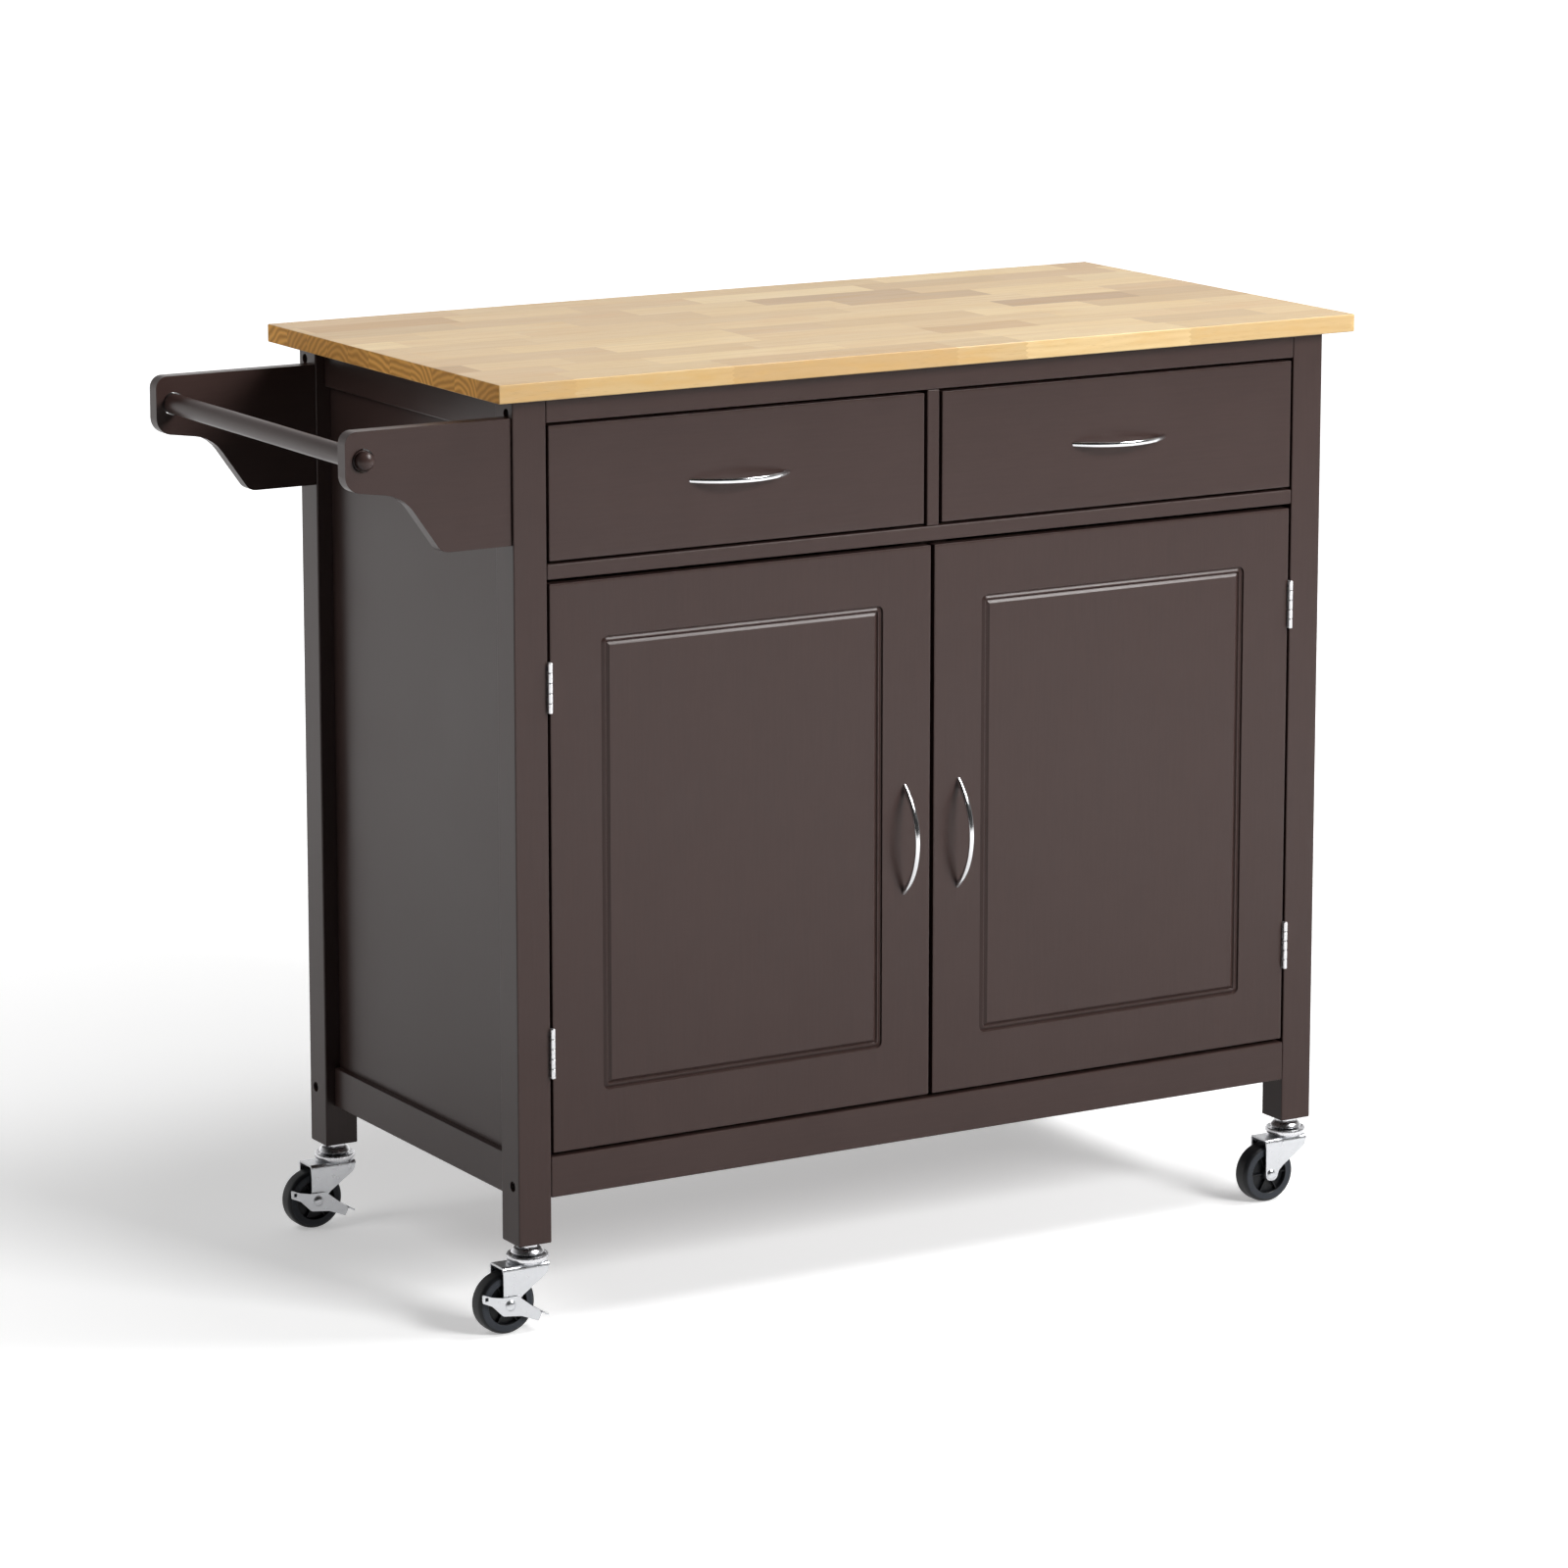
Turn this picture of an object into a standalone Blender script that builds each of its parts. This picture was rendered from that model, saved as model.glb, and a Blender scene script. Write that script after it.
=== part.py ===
"""A rolling butcher block table: a wooden top on a painted post-and-rail cabinet with two drawers,
two doors, a towel rail on the left end and four swivel casters.

Lengths are in metres and +Z is up. Pieces are drawn in carcass coordinates: x runs right from the
outer face of the left posts, y runs back from the front face of the front posts, z runs up from the
floor. The empty named cart then puts the middle of the whole table's footprint at the origin.
"""

import math

import bmesh
import bpy
from mathutils import Matrix, Vector

# Driving dimensions of the cabinet
WIDTH = 0.919
DEPTH = 0.447
HEIGHT = 0.9175
TOP_THICKNESS = 0.018
TOP_OVERHANG_SIDE = 0.0245
TOP_OVERHANG_FRONT = 0.0205
POST = 0.035
POST_BOTTOM = 0.086
RAIL_THICKNESS = 0.025
SIDE_RAIL_THICKNESS = 0.015
SIDE_RAIL_INSET = 0.010
SIDE_RAIL_HEIGHT = 0.040
SIDE_RAIL_BOTTOM = 0.127
BOTTOM_RAIL_LOW = 0.130
BOTTOM_RAIL_HIGH = 0.170
TOP_RAIL_LOW = 0.875
DECK_LOW = 0.727
DECK_HIGH = 0.7415
PARTITION = 0.0136
PANEL = 0.004
PANEL_INSET = 0.0165
GROOVE_DEPTH = 0.006
BACK_PANEL_INSET = 0.0105
BOARD = 0.015
FLOOR_HIGH = 0.1668
SHELF_HIGH = 0.455
SHELF_SETBACK = 0.060
GAP = 0.0003
EASE = 0.0012

# Bolts and caster stems in the posts
BOLT_HOLE_RADIUS = 0.0052
BOLT_HOLE_DEPTH = 0.010
BOLT_LOW = 0.1432
BOLT_HIGH = 0.8848
STEM_BORE_RADIUS = 0.0053
STEM_BORE_DEPTH = 0.034

# Drawers
DRAWER_SIDE_GAP = 0.0025
DRAWER_PARTITION_GAP = 0.0033
DRAWER_LOW = 0.7443
DRAWER_HIGH = 0.8722
DRAWER_DEPTH = 0.380
DRAWER_BOX_INSET = 0.008
DRAWER_BOX_LOW = 0.742
DRAWER_BOX_HIGH = 0.842
DRAWER_SIDE = 0.012
DRAWER_BOTTOM_LOW = 0.7505
DRAWER_BOTTOM_SLOT = 0.005
GUIDE_WIDTH = 0.020
GUIDE_HEIGHT = 0.007
GUIDE_FRONT = 0.030

# Doors
DOOR_SIDE_GAP = 0.0025
DOOR_MIDDLE_GAP = 0.004
DOOR_LOW = 0.1738
DOOR_HIGH = 0.7228
ROUT_INSET = 0.0544
ROUT_WIDTH = 0.0095
ROUT_DEPTH = 0.0035
ROUT_CORNER = 0.006
CATCH_SIZE = Vector((0.050, 0.020, 0.012))

# Butt hinges
HINGE_LENGTH = 0.0485
HINGE_FROM_END = 0.0981
HINGE_RADIUS = 0.0024
HINGE_PIN_RADIUS = 0.0012
HINGE_BORE_RADIUS = 0.0015
HINGE_PROUD = 0.0028
LEAF_THICKNESS = 0.0008
LEAF_DEPTH = 0.0163
KNUCKLES = 5
KNUCKLE_GAP = 0.0004

# Bow handles
HANDLE_LENGTH = 0.1105
HANDLE_REACH = 0.0255
HANDLE_STRAP = 0.0035
HANDLE_FOOT = 0.0045
HANDLE_WIDTH = 0.005
DOOR_HANDLE_INSET = 0.029
DOOR_HANDLE_HEIGHT = 0.434

# Towel rail
BRACKET_REACH = 0.1713
BRACKET_TOP = 0.8818
BRACKET_BOTTOM = 0.7621
BRACKET_SETBACK = 0.003
RAIL_CENTRE = Vector((-0.1530, 0.0, 0.8546))
RAIL_RADIUS = 0.010
RAIL_BORE_RADIUS = 0.0104
RAIL_DOME = 0.007

# Casters
WHEEL_RADIUS = 0.030
WHEEL_WIDTH = 0.020
HUB_WIDTH = 0.0222
TRAIL = 0.0265
FORK_WIDTH = 0.028
FORK_WALL = 0.002
FORK_TOP = 0.067
RACE_LOW = 0.0695
RACE_HIGH = 0.0748
RACE_RADIUS = 0.0207
CUP_LOW = 0.0752
CUP_HIGH = 0.0817
CUP_RADIUS = 0.016
NUT_RADIUS = 0.0115
STEM_RADIUS = 0.0048
STEM_LENGTH = 0.030
KINGPIN_RADIUS = 0.0040
KINGPIN_BORE_RADIUS = 0.0045
AXLE_RADIUS = 0.0025
AXLE_BORE_RADIUS = 0.0030
RIVET_RADIUS = 0.0046
LEVER_WALL = 0.0015

# Colours, linear red, green and blue
ESPRESSO = (0.078, 0.054, 0.048)
RUBBERWOOD = (0.72, 0.52, 0.34)
DRAWER_WOOD = (0.66, 0.50, 0.34)
CHROME = (0.80, 0.80, 0.81)
ZINC = (0.66, 0.67, 0.69)
BLACK_RUBBER = (0.015, 0.016, 0.018)
BROWN_PLASTIC = (0.060, 0.040, 0.034)

# Where the table's own middle lies in carcass coordinates
LEFT_END = -BRACKET_REACH
RIGHT_END = WIDTH + TOP_OVERHANG_SIDE
FRONT_END = -GAP - HANDLE_REACH
BACK_END = DEPTH + TOP_OVERHANG_FRONT
MIDDLE = Vector(((LEFT_END + RIGHT_END) / 2, (FRONT_END + BACK_END) / 2, 0))

POST_TOP = HEIGHT - TOP_THICKNESS - GAP
AXLE = Vector((-TRAIL, 0, WHEEL_RADIUS))


def clear_scene():
    for obj in list(bpy.data.objects):
        bpy.data.objects.remove(obj)


def finish(name, colour, roughness, metallic=0.0):
    material = bpy.data.materials.new(name)
    material.use_nodes = True
    shader = material.node_tree.nodes["Principled BSDF"]
    shader.inputs["Base Color"].default_value = (*colour, 1)
    shader.inputs["Roughness"].default_value = roughness
    shader.inputs["Metallic"].default_value = metallic
    return material


# Mesh makers


def mesh_from(bm, name="shape"):
    bmesh.ops.recalc_face_normals(bm, faces=bm.faces)
    mesh = bpy.data.meshes.new(name)
    bm.to_mesh(mesh)
    bm.free()
    return mesh


def box(low, high, ease=0.0):
    """A box between two corners, its edges rounded by ease."""
    low, high = Vector(low), Vector(high)
    bm = bmesh.new()
    bmesh.ops.create_cube(bm, size=1)
    bmesh.ops.scale(bm, vec=high - low, verts=bm.verts)
    bmesh.ops.translate(bm, vec=(low + high) / 2, verts=bm.verts)
    if ease:
        bmesh.ops.bevel(bm, geom=bm.edges, offset=ease, segments=2, profile=0.5, affect="EDGES")
    return mesh_from(bm)


def prism(outline, axis, low, high):
    """A flat outline pushed along Y or Z. Its points are (x, z) for Y and (x, y) for Z."""
    bm = bmesh.new()
    if axis == "Y":
        points = [Vector((across, low, up)) for across, up in outline]
        push = Vector((0, high - low, 0))
    else:
        points = [Vector((across, along, low)) for across, along in outline]
        push = Vector((0, 0, high - low))
    face = bm.faces.new([bm.verts.new(point) for point in points])
    pushed = bmesh.ops.extrude_face_region(bm, geom=[face])
    moved = [item for item in pushed["geom"] if isinstance(item, bmesh.types.BMVert)]
    bmesh.ops.translate(bm, vec=push, verts=moved)
    return mesh_from(bm)


def turned(profile, segments, closed, axis="Z"):
    """A profile of (radius, height) points turned round Z, or round Y with height along it."""
    bm = bmesh.new()
    if axis == "Z":
        points = [Vector((radius, 0, height)) for radius, height in profile]
        turn = (0, 0, 1)
    else:
        points = [Vector((radius, height, 0)) for radius, height in profile]
        turn = (0, 1, 0)
    verts = [bm.verts.new(point) for point in points]
    edges = [bm.edges.new(pair) for pair in zip(verts, verts[1:])]
    if closed:
        edges.append(bm.edges.new((verts[-1], verts[0])))
    bmesh.ops.spin(
        bm, geom=verts + edges, cent=(0, 0, 0), axis=turn, angle=math.tau, steps=segments
    )
    bmesh.ops.remove_doubles(bm, verts=bm.verts, dist=1e-6)
    return mesh_from(bm)


def rod(radius, low, high, segments=16):
    """A round rod along Z."""
    return turned([(0, low), (radius, low), (radius, high), (0, high)], segments, False)


def moved(mesh, offset=(0, 0, 0), rotation=None):
    """The same mesh, turned about the origin and then shifted."""
    matrix = Matrix.Translation(Vector(offset))
    if rotation is not None:
        matrix = matrix @ rotation
    mesh.transform(matrix)
    return mesh


def carve(base, add=(), cut=()):
    """A new mesh: base joined with each mesh in add, less each mesh in cut."""
    collection = bpy.context.scene.collection.objects
    body = bpy.data.objects.new("body", base)
    collection.link(body)
    tools = []
    for operation, meshes in (("UNION", add), ("DIFFERENCE", cut)):
        for mesh in meshes:
            tool = bpy.data.objects.new("tool", mesh)
            collection.link(tool)
            tools.append(tool)
            modifier = body.modifiers.new(operation, "BOOLEAN")
            modifier.operation = operation
            modifier.object = tool
    bpy.context.view_layer.update()
    graph = bpy.context.evaluated_depsgraph_get()
    result = bpy.data.meshes.new_from_object(body.evaluated_get(graph))
    for obj in [body, *tools]:
        bpy.data.objects.remove(obj)
    return result


def rounded(corners, step=math.radians(15)):
    """An outline from (x, y, radius) corners, each radius drawn as an arc between its sides."""
    outline = []
    for index, (x, y, radius) in enumerate(corners):
        here = Vector((x, y))
        before = Vector(corners[index - 1][:2]) - here
        after = Vector(corners[(index + 1) % len(corners)][:2]) - here
        if not radius:
            outline.append((x, y))
            continue
        before.normalize()
        after.normalize()
        half = before.angle(after) / 2
        centre = here + (before + after).normalized() * radius / math.sin(half)
        start = here + before * radius / math.tan(half) - centre
        sweep = (math.pi - 2 * half) * (-1 if before.cross(after) > 0 else 1)
        count = max(2, round(abs(sweep) / step))
        for number in range(count + 1):
            turn = Matrix.Rotation(sweep * number / count, 2)
            outline.append(tuple(centre + turn @ start))
    return outline


# Placing


def pivot(name, location, parent):
    """An empty on a joint's axis, given in carcass coordinates."""
    empty = bpy.data.objects.new(name, None)
    empty.empty_display_size = 0.03
    bpy.context.scene.collection.objects.link(empty)
    empty["carcass"] = tuple(location)
    empty.parent = parent
    base = Vector(parent["carcass"]) if parent else Vector((0, 0, 0))
    empty.location = Vector(location) - base
    return empty


def place(name, mesh, material, parent, drawn_at=None):
    """Makes the object of a mesh that is drawn in carcass coordinates, or round the point drawn_at."""
    obj = bpy.data.objects.new(name, mesh)
    mesh.name = name
    bpy.context.scene.collection.objects.link(obj)
    obj.parent = parent
    mesh.materials.clear()
    mesh.materials.append(material)
    if drawn_at is None:
        mesh.transform(Matrix.Translation(-Vector(parent["carcass"])))
    else:
        obj.location = Vector(drawn_at) - Vector(parent["carcass"])
    mesh.shade_smooth()
    mesh.set_sharp_from_angle(angle=math.radians(35))
    return obj


# The carcass


def panel_boxes(grow):
    """The three thin panels, each side of them grown by grow."""
    low = SIDE_RAIL_BOTTOM + SIDE_RAIL_HEIGHT - GROOVE_DEPTH
    high = POST_TOP - SIDE_RAIL_HEIGHT + GROOVE_DEPTH
    front = POST - GROOVE_DEPTH
    back = DEPTH - POST + GROOVE_DEPTH
    out = Vector((grow, grow, grow))
    sides = []
    for inner in (PANEL_INSET, WIDTH - PANEL_INSET - PANEL):
        near = Vector((inner, front, low))
        far = Vector((inner + PANEL, back, high))
        sides.append(box(near - out, far + out))
    outer = DEPTH - BACK_PANEL_INSET
    near = Vector((POST - GROOVE_DEPTH, outer - PANEL, BOTTOM_RAIL_HIGH - GROOVE_DEPTH))
    far = Vector((WIDTH - POST + GROOVE_DEPTH, outer, TOP_RAIL_LOW + GROOVE_DEPTH))
    return sides[0], sides[1], box(near - out, far + out)


def make_top(cart, wood):
    low = (-TOP_OVERHANG_SIDE, -TOP_OVERHANG_FRONT, HEIGHT - TOP_THICKNESS)
    high = (WIDTH + TOP_OVERHANG_SIDE, DEPTH + TOP_OVERHANG_FRONT, HEIGHT)
    place("worktop", box(low, high, EASE), wood, cart)


def make_posts(cart, paint):
    for side, x in (("left", 0), ("right", WIDTH - POST)):
        for end, y in (("front", 0), ("back", DEPTH - POST)):
            post = box((x, y, POST_BOTTOM), (x + POST, y + POST, POST_TOP), EASE)
            left_groove, right_groove, back_groove = panel_boxes(GAP)
            holes = [left_groove if side == "left" else right_groove]
            if end == "back":
                holes.append(back_groove)
            stem = rod(STEM_BORE_RADIUS, POST_BOTTOM - 0.01, POST_BOTTOM + STEM_BORE_DEPTH)
            holes.append(moved(stem, (x + POST / 2, y + POST / 2, 0)))
            bolt_y = RAIL_THICKNESS / 2 if end == "front" else DEPTH - RAIL_THICKNESS / 2
            face = 0 if side == "left" else WIDTH
            for height in (BOLT_LOW, BOLT_HIGH):
                hole = rod(BOLT_HOLE_RADIUS, -BOLT_HOLE_DEPTH, BOLT_HOLE_DEPTH, 12)
                turn = Matrix.Rotation(math.pi / 2, 4, "Y")
                holes.append(moved(hole, (face, bolt_y, height), turn))
            place(f"post_{end}_{side}", carve(post, cut=holes), paint, cart)


def make_rails(cart, paint):
    inner, outer = POST + GAP, WIDTH - POST - GAP
    back_groove = panel_boxes(GAP)[2]
    for end, y in (("front", 0), ("back", DEPTH - RAIL_THICKNESS)):
        for level, low, high in (
            ("bottom", BOTTOM_RAIL_LOW, BOTTOM_RAIL_HIGH),
            ("top", TOP_RAIL_LOW, POST_TOP),
        ):
            rail = box((inner, y, low), (outer, y + RAIL_THICKNESS, high), EASE)
            if end == "back":
                rail = carve(rail, cut=[back_groove.copy()])
            place(f"{level}_rail_{end}", rail, paint, cart)
    front, back = POST + GAP, DEPTH - POST - GAP
    for side, x in (
        ("left", SIDE_RAIL_INSET),
        ("right", WIDTH - SIDE_RAIL_INSET - SIDE_RAIL_THICKNESS),
    ):
        for level, low in (("lower", SIDE_RAIL_BOTTOM), ("upper", POST_TOP - SIDE_RAIL_HEIGHT)):
            rail = box((x, front, low), (x + SIDE_RAIL_THICKNESS, back, low + SIDE_RAIL_HEIGHT), EASE)
            groove = panel_boxes(GAP)[0 if side == "left" else 1]
            place(f"side_rail_{level}_{side}", carve(rail, cut=[groove]), paint, cart)


def make_panels(cart, paint):
    left, right, back = panel_boxes(0)
    place("side_panel_left", left, paint, cart)
    place("side_panel_right", right, paint, cart)
    place("back_panel", back, paint, cart)


def make_boards(cart, paint, wood):
    inner, outer = POST + GAP, WIDTH - POST - GAP
    panel_front = DEPTH - BACK_PANEL_INSET - PANEL - GAP
    deck = box((inner, 0, DECK_LOW), (outer, panel_front, DECK_HIGH), EASE)
    place("drawer_deck", deck, paint, cart)
    left = (WIDTH - PARTITION) / 2
    partition_low, partition_high = DECK_HIGH + GAP, TOP_RAIL_LOW - GAP
    partition = box((left, 0, partition_low), (left + PARTITION, panel_front, partition_high), EASE)
    place("drawer_partition", partition, paint, cart)

    wide_left = SIDE_RAIL_INSET + SIDE_RAIL_THICKNESS + GAP
    wide_right = WIDTH - wide_left
    short_front, short_back = RAIL_THICKNESS + GAP, DEPTH - RAIL_THICKNESS - GAP
    long_front, long_back = POST + GAP, DEPTH - POST - GAP
    outline = [
        (inner, short_front), (outer, short_front), (outer, long_front), (wide_right, long_front),
        (wide_right, long_back), (outer, long_back), (outer, short_back), (inner, short_back),
        (inner, long_back), (wide_left, long_back), (wide_left, long_front), (inner, long_front),
    ]
    place("cabinet_floor", prism(outline, "Z", FLOOR_HIGH - BOARD, FLOOR_HIGH), paint, cart)

    edge = PANEL_INSET + PANEL + GAP
    shelf_low = (edge, SHELF_SETBACK, SHELF_HIGH - BOARD)
    shelf_high = (WIDTH - edge, DEPTH - POST - 2 * GAP, SHELF_HIGH)
    place("shelf", box(shelf_low, shelf_high, EASE), paint, cart)

    for side, centre in (("left", drawer_centre(-1)), ("right", drawer_centre(1))):
        low = (centre - GUIDE_WIDTH / 2, GUIDE_FRONT, DECK_HIGH + GAP)
        high = (centre + GUIDE_WIDTH / 2, panel_front - GAP, DECK_HIGH + GAP + GUIDE_HEIGHT)
        place(f"drawer_guide_{side}", box(low, high), wood, cart)


def make_catch(cart, plastic):
    """A double magnetic catch under the deck, behind the meeting edges of the doors."""
    half = CATCH_SIZE.x / 2
    front = BOARD + 4 * GAP
    low = (WIDTH / 2 - half, front, DECK_LOW - GAP - CATCH_SIZE.z)
    high = (WIDTH / 2 + half, front + CATCH_SIZE.y, DECK_LOW - GAP)
    place("door_catch", box(low, high, EASE), plastic, cart)


# Drawers


def drawer_span(side):
    """The left and right edges of a drawer's front; side is -1 for the left drawer, 1 for the right."""
    outer = POST + DRAWER_SIDE_GAP
    inner = (WIDTH - PARTITION) / 2 - DRAWER_PARTITION_GAP
    return (outer, inner) if side < 0 else (WIDTH - inner, WIDTH - outer)


def drawer_centre(side):
    return sum(drawer_span(side)) / 2


def handle_mesh():
    """A bow handle along X, its feet on the plane y = 0 and its bow towards -Y."""

    def arc(length, reach, count=14):
        radius = (length**2 / 4 + reach**2) / (2 * reach)
        half = math.asin(length / 2 / radius)
        angles = [half * (2 * number / count - 1) for number in range(count + 1)]
        return [(radius * math.sin(a), radius - reach - radius * math.cos(a)) for a in angles]

    outer = arc(HANDLE_LENGTH, HANDLE_REACH)
    inner = arc(HANDLE_LENGTH - 2 * HANDLE_FOOT, HANDLE_REACH - HANDLE_STRAP)
    return prism(outer + inner[::-1], "Z", -HANDLE_WIDTH / 2, HANDLE_WIDTH / 2)


def make_drawer(side, cart, paint, wood, chrome):
    name = "drawer_left" if side < 0 else "drawer_right"
    left, right = drawer_span(side)
    centre = (left + right) / 2
    middle_height = (DRAWER_LOW + DRAWER_HIGH) / 2
    slide = pivot(f"{name}_slide", (centre, 0, middle_height), cart)
    front = box((left, 0, DRAWER_LOW), (right, BOARD, DRAWER_HIGH), EASE)
    place(f"{name}_front", front, paint, slide)

    outer_left, outer_right = left + DRAWER_BOX_INSET, right - DRAWER_BOX_INSET
    inner_left, inner_right = outer_left + DRAWER_SIDE, outer_right - DRAWER_SIDE
    box_front, box_back = BOARD + GAP, BOARD + GAP + DRAWER_DEPTH
    inner_back = box_back - DRAWER_SIDE
    body = box((outer_left, box_front, DRAWER_BOX_LOW), (outer_right, box_back, DRAWER_BOX_HIGH))
    hollow = box(
        (inner_left, box_front - 0.01, DRAWER_BOX_LOW - 0.01),
        (inner_right, inner_back, DRAWER_BOX_HIGH + 0.01),
    )
    slot_low = (inner_left - DRAWER_BOTTOM_SLOT, box_front - 0.01, DRAWER_BOTTOM_LOW - GAP)
    slot_top = DRAWER_BOTTOM_LOW + PANEL + GAP
    slot_high = (inner_right + DRAWER_BOTTOM_SLOT, inner_back + DRAWER_BOTTOM_SLOT, slot_top)
    notch_low = (centre - GUIDE_WIDTH / 2 - 0.001, inner_back - 0.01, DRAWER_BOX_LOW - 0.01)
    notch_high = (centre + GUIDE_WIDTH / 2 + 0.001, box_back + 0.01, DECK_HIGH + GUIDE_HEIGHT + 0.001)
    cuts = [hollow, box(slot_low, slot_high), box(notch_low, notch_high)]
    place(f"{name}_box", carve(body, cut=cuts), wood, slide)

    reach = DRAWER_BOTTOM_SLOT - GAP
    bottom = box(
        (inner_left - reach, box_front, DRAWER_BOTTOM_LOW),
        (inner_right + reach, inner_back + reach, DRAWER_BOTTOM_LOW + PANEL),
    )
    place(f"{name}_bottom", bottom, wood, slide)
    place(f"{name}_handle", handle_mesh(), chrome, slide, (centre, -GAP, middle_height))


# Doors and hinges


def hinge_meshes():
    """The frame leaf with its pin, and the door leaf, round an axis along Z through the origin.

    The frame leaf lies at -X of the axis and the door leaf at +X, and both run back along Y.
    """
    pitch = HINGE_LENGTH / KNUCKLES
    plate_front = HINGE_PROUD + GAP
    meshes = []
    for first, side in ((0, -1), (1, 1)):
        inner = 0.5 * GAP * side
        outer = inner + LEAF_THICKNESS * side
        low_x, high_x = min(inner, outer), max(inner, outer)
        plate = box((low_x, plate_front, -HINGE_LENGTH / 2), (high_x, LEAF_DEPTH, HINGE_LENGTH / 2))
        add = []
        for number in range(first, KNUCKLES, 2):
            low = -HINGE_LENGTH / 2 + pitch * number + (KNUCKLE_GAP / 2 if number else 0)
            high = -HINGE_LENGTH / 2 + pitch * (number + 1)
            if number < KNUCKLES - 1:
                high -= KNUCKLE_GAP / 2
            add.append(rod(HINGE_RADIUS, low, high, 12))
            add.append(box((low_x, 0, low), (high_x, plate_front + GAP, high)))
        if side < 0:
            add.append(rod(HINGE_PIN_RADIUS, -HINGE_LENGTH / 2 + GAP, HINGE_LENGTH / 2 - GAP, 10))
            meshes.append(carve(plate, add=add))
        else:
            bore = rod(HINGE_BORE_RADIUS, -HINGE_LENGTH, HINGE_LENGTH, 10)
            meshes.append(carve(plate, add=add, cut=[bore]))
    return meshes


def make_door(side, cart, paint, chrome, leaves):
    name = "door_left" if side < 0 else "door_right"
    hinge_edge = POST + DOOR_SIDE_GAP
    free_edge = (WIDTH - DOOR_MIDDLE_GAP) / 2
    axis_x = POST + DOOR_SIDE_GAP / 2
    handle_x = free_edge - DOOR_HANDLE_INSET
    if side > 0:
        hinge_edge, free_edge = WIDTH - hinge_edge, WIDTH - free_edge
        axis_x, handle_x = WIDTH - axis_x, WIDTH - handle_x
    left, right = min(hinge_edge, free_edge), max(hinge_edge, free_edge)
    swing = pivot(f"{name}_swing", (axis_x, -HINGE_PROUD, (DOOR_LOW + DOOR_HIGH) / 2), cart)

    slab = box((left, 0, DOOR_LOW), (right, BOARD, DOOR_HIGH), EASE)
    edges = []
    for inset, corner in ((ROUT_INSET, ROUT_CORNER), (ROUT_INSET + ROUT_WIDTH, 0)):
        low_x, high_x = left + inset, right - inset
        low_z, high_z = DOOR_LOW + inset, DOOR_HIGH - inset
        square = ((low_x, low_z), (high_x, low_z), (high_x, high_z), (low_x, high_z))
        edges.append(rounded([(x, z, corner) for x, z in square], math.radians(30)))
    outer, inner = edges
    ring = carve(
        prism(outer, "Y", -0.01, ROUT_DEPTH),
        cut=[prism(inner, "Y", -0.02, ROUT_DEPTH + 0.01)],
    )
    place(f"{name}_panel", carve(slab, cut=[ring]), paint, swing)
    handle = moved(handle_mesh(), rotation=Matrix.Rotation(math.pi / 2, 4, "Y"))
    place(f"{name}_handle", handle, chrome, swing, (handle_x, -GAP, DOOR_HANDLE_HEIGHT))

    frame_leaf, door_leaf = leaves
    for level, height in (("upper", DOOR_HIGH - HINGE_FROM_END), ("lower", DOOR_LOW + HINGE_FROM_END)):
        where = (axis_x, -HINGE_PROUD, height)
        for part, mesh, parent in (("frame", frame_leaf, cart), ("door", door_leaf, swing)):
            leaf = place(f"{name}_hinge_{level}_{part}_leaf", mesh.copy(), chrome, parent, where)
            if side > 0:
                leaf.rotation_euler = (0, math.pi, 0)


# Towel rail


def make_towel_rail(cart, paint):
    left, join = -BRACKET_REACH, -GAP
    outline = rounded([
        (join, BRACKET_TOP, 0),
        (left, BRACKET_TOP, 0.012),
        (left, 0.8263, 0.017),
        (-0.1126, 0.8181, 0.042),
        (-0.0726, BRACKET_BOTTOM, 0.013),
        (join, BRACKET_BOTTOM, 0),
    ])
    for end, front in (("front", BRACKET_SETBACK), ("back", DEPTH - POST + GAP)):
        near, far = front - 0.01, front + 0.03
        side = [(0, near), (RAIL_BORE_RADIUS, near), (RAIL_BORE_RADIUS, far), (0, far)]
        bore = moved(turned(side, 20, False, "Y"), RAIL_CENTRE)
        board = prism(outline, "Y", front, front + BOARD)
        place(f"towel_bracket_{end}", carve(board, cut=[bore]), paint, cart)
    start, stop = BRACKET_SETBACK, DEPTH - POST + BOARD
    dome = [math.pi / 2 * number / 4 for number in range(5)]
    profile = [(RAIL_RADIUS * math.sin(a), start - RAIL_DOME * math.cos(a)) for a in dome]
    profile += [(RAIL_RADIUS * math.sin(a), stop + RAIL_DOME * math.cos(a)) for a in dome[::-1]]
    profile[0] = (0, profile[0][1])
    profile[-1] = (0, profile[-1][1])
    place("towel_bar", moved(turned(profile, 20, False, "Y"), RAIL_CENTRE), paint, cart)


# Casters, each drawn round its swivel axis with z = 0 on the floor


def stem_mesh():
    """The fixed half: the screwed stem, its nut, the upper race and the pin that the fork hangs on."""
    profile = [
        (0, 0.0620), (0.006, 0.0620), (0.006, FORK_TOP - FORK_WALL - GAP),
        (KINGPIN_RADIUS, FORK_TOP - FORK_WALL - GAP), (KINGPIN_RADIUS, CUP_LOW),
        (CUP_RADIUS - 0.001, CUP_LOW), (CUP_RADIUS, CUP_LOW + 0.001), (CUP_RADIUS - 0.0025, CUP_HIGH),
        (STEM_RADIUS, CUP_HIGH), (STEM_RADIUS, POST_BOTTOM + STEM_LENGTH), (0, POST_BOTTOM + STEM_LENGTH),
    ]
    nut = rod(NUT_RADIUS, CUP_HIGH - 0.0005, POST_BOTTOM - GAP, 6)
    return carve(turned(profile, 20, False), add=[nut])


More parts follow.
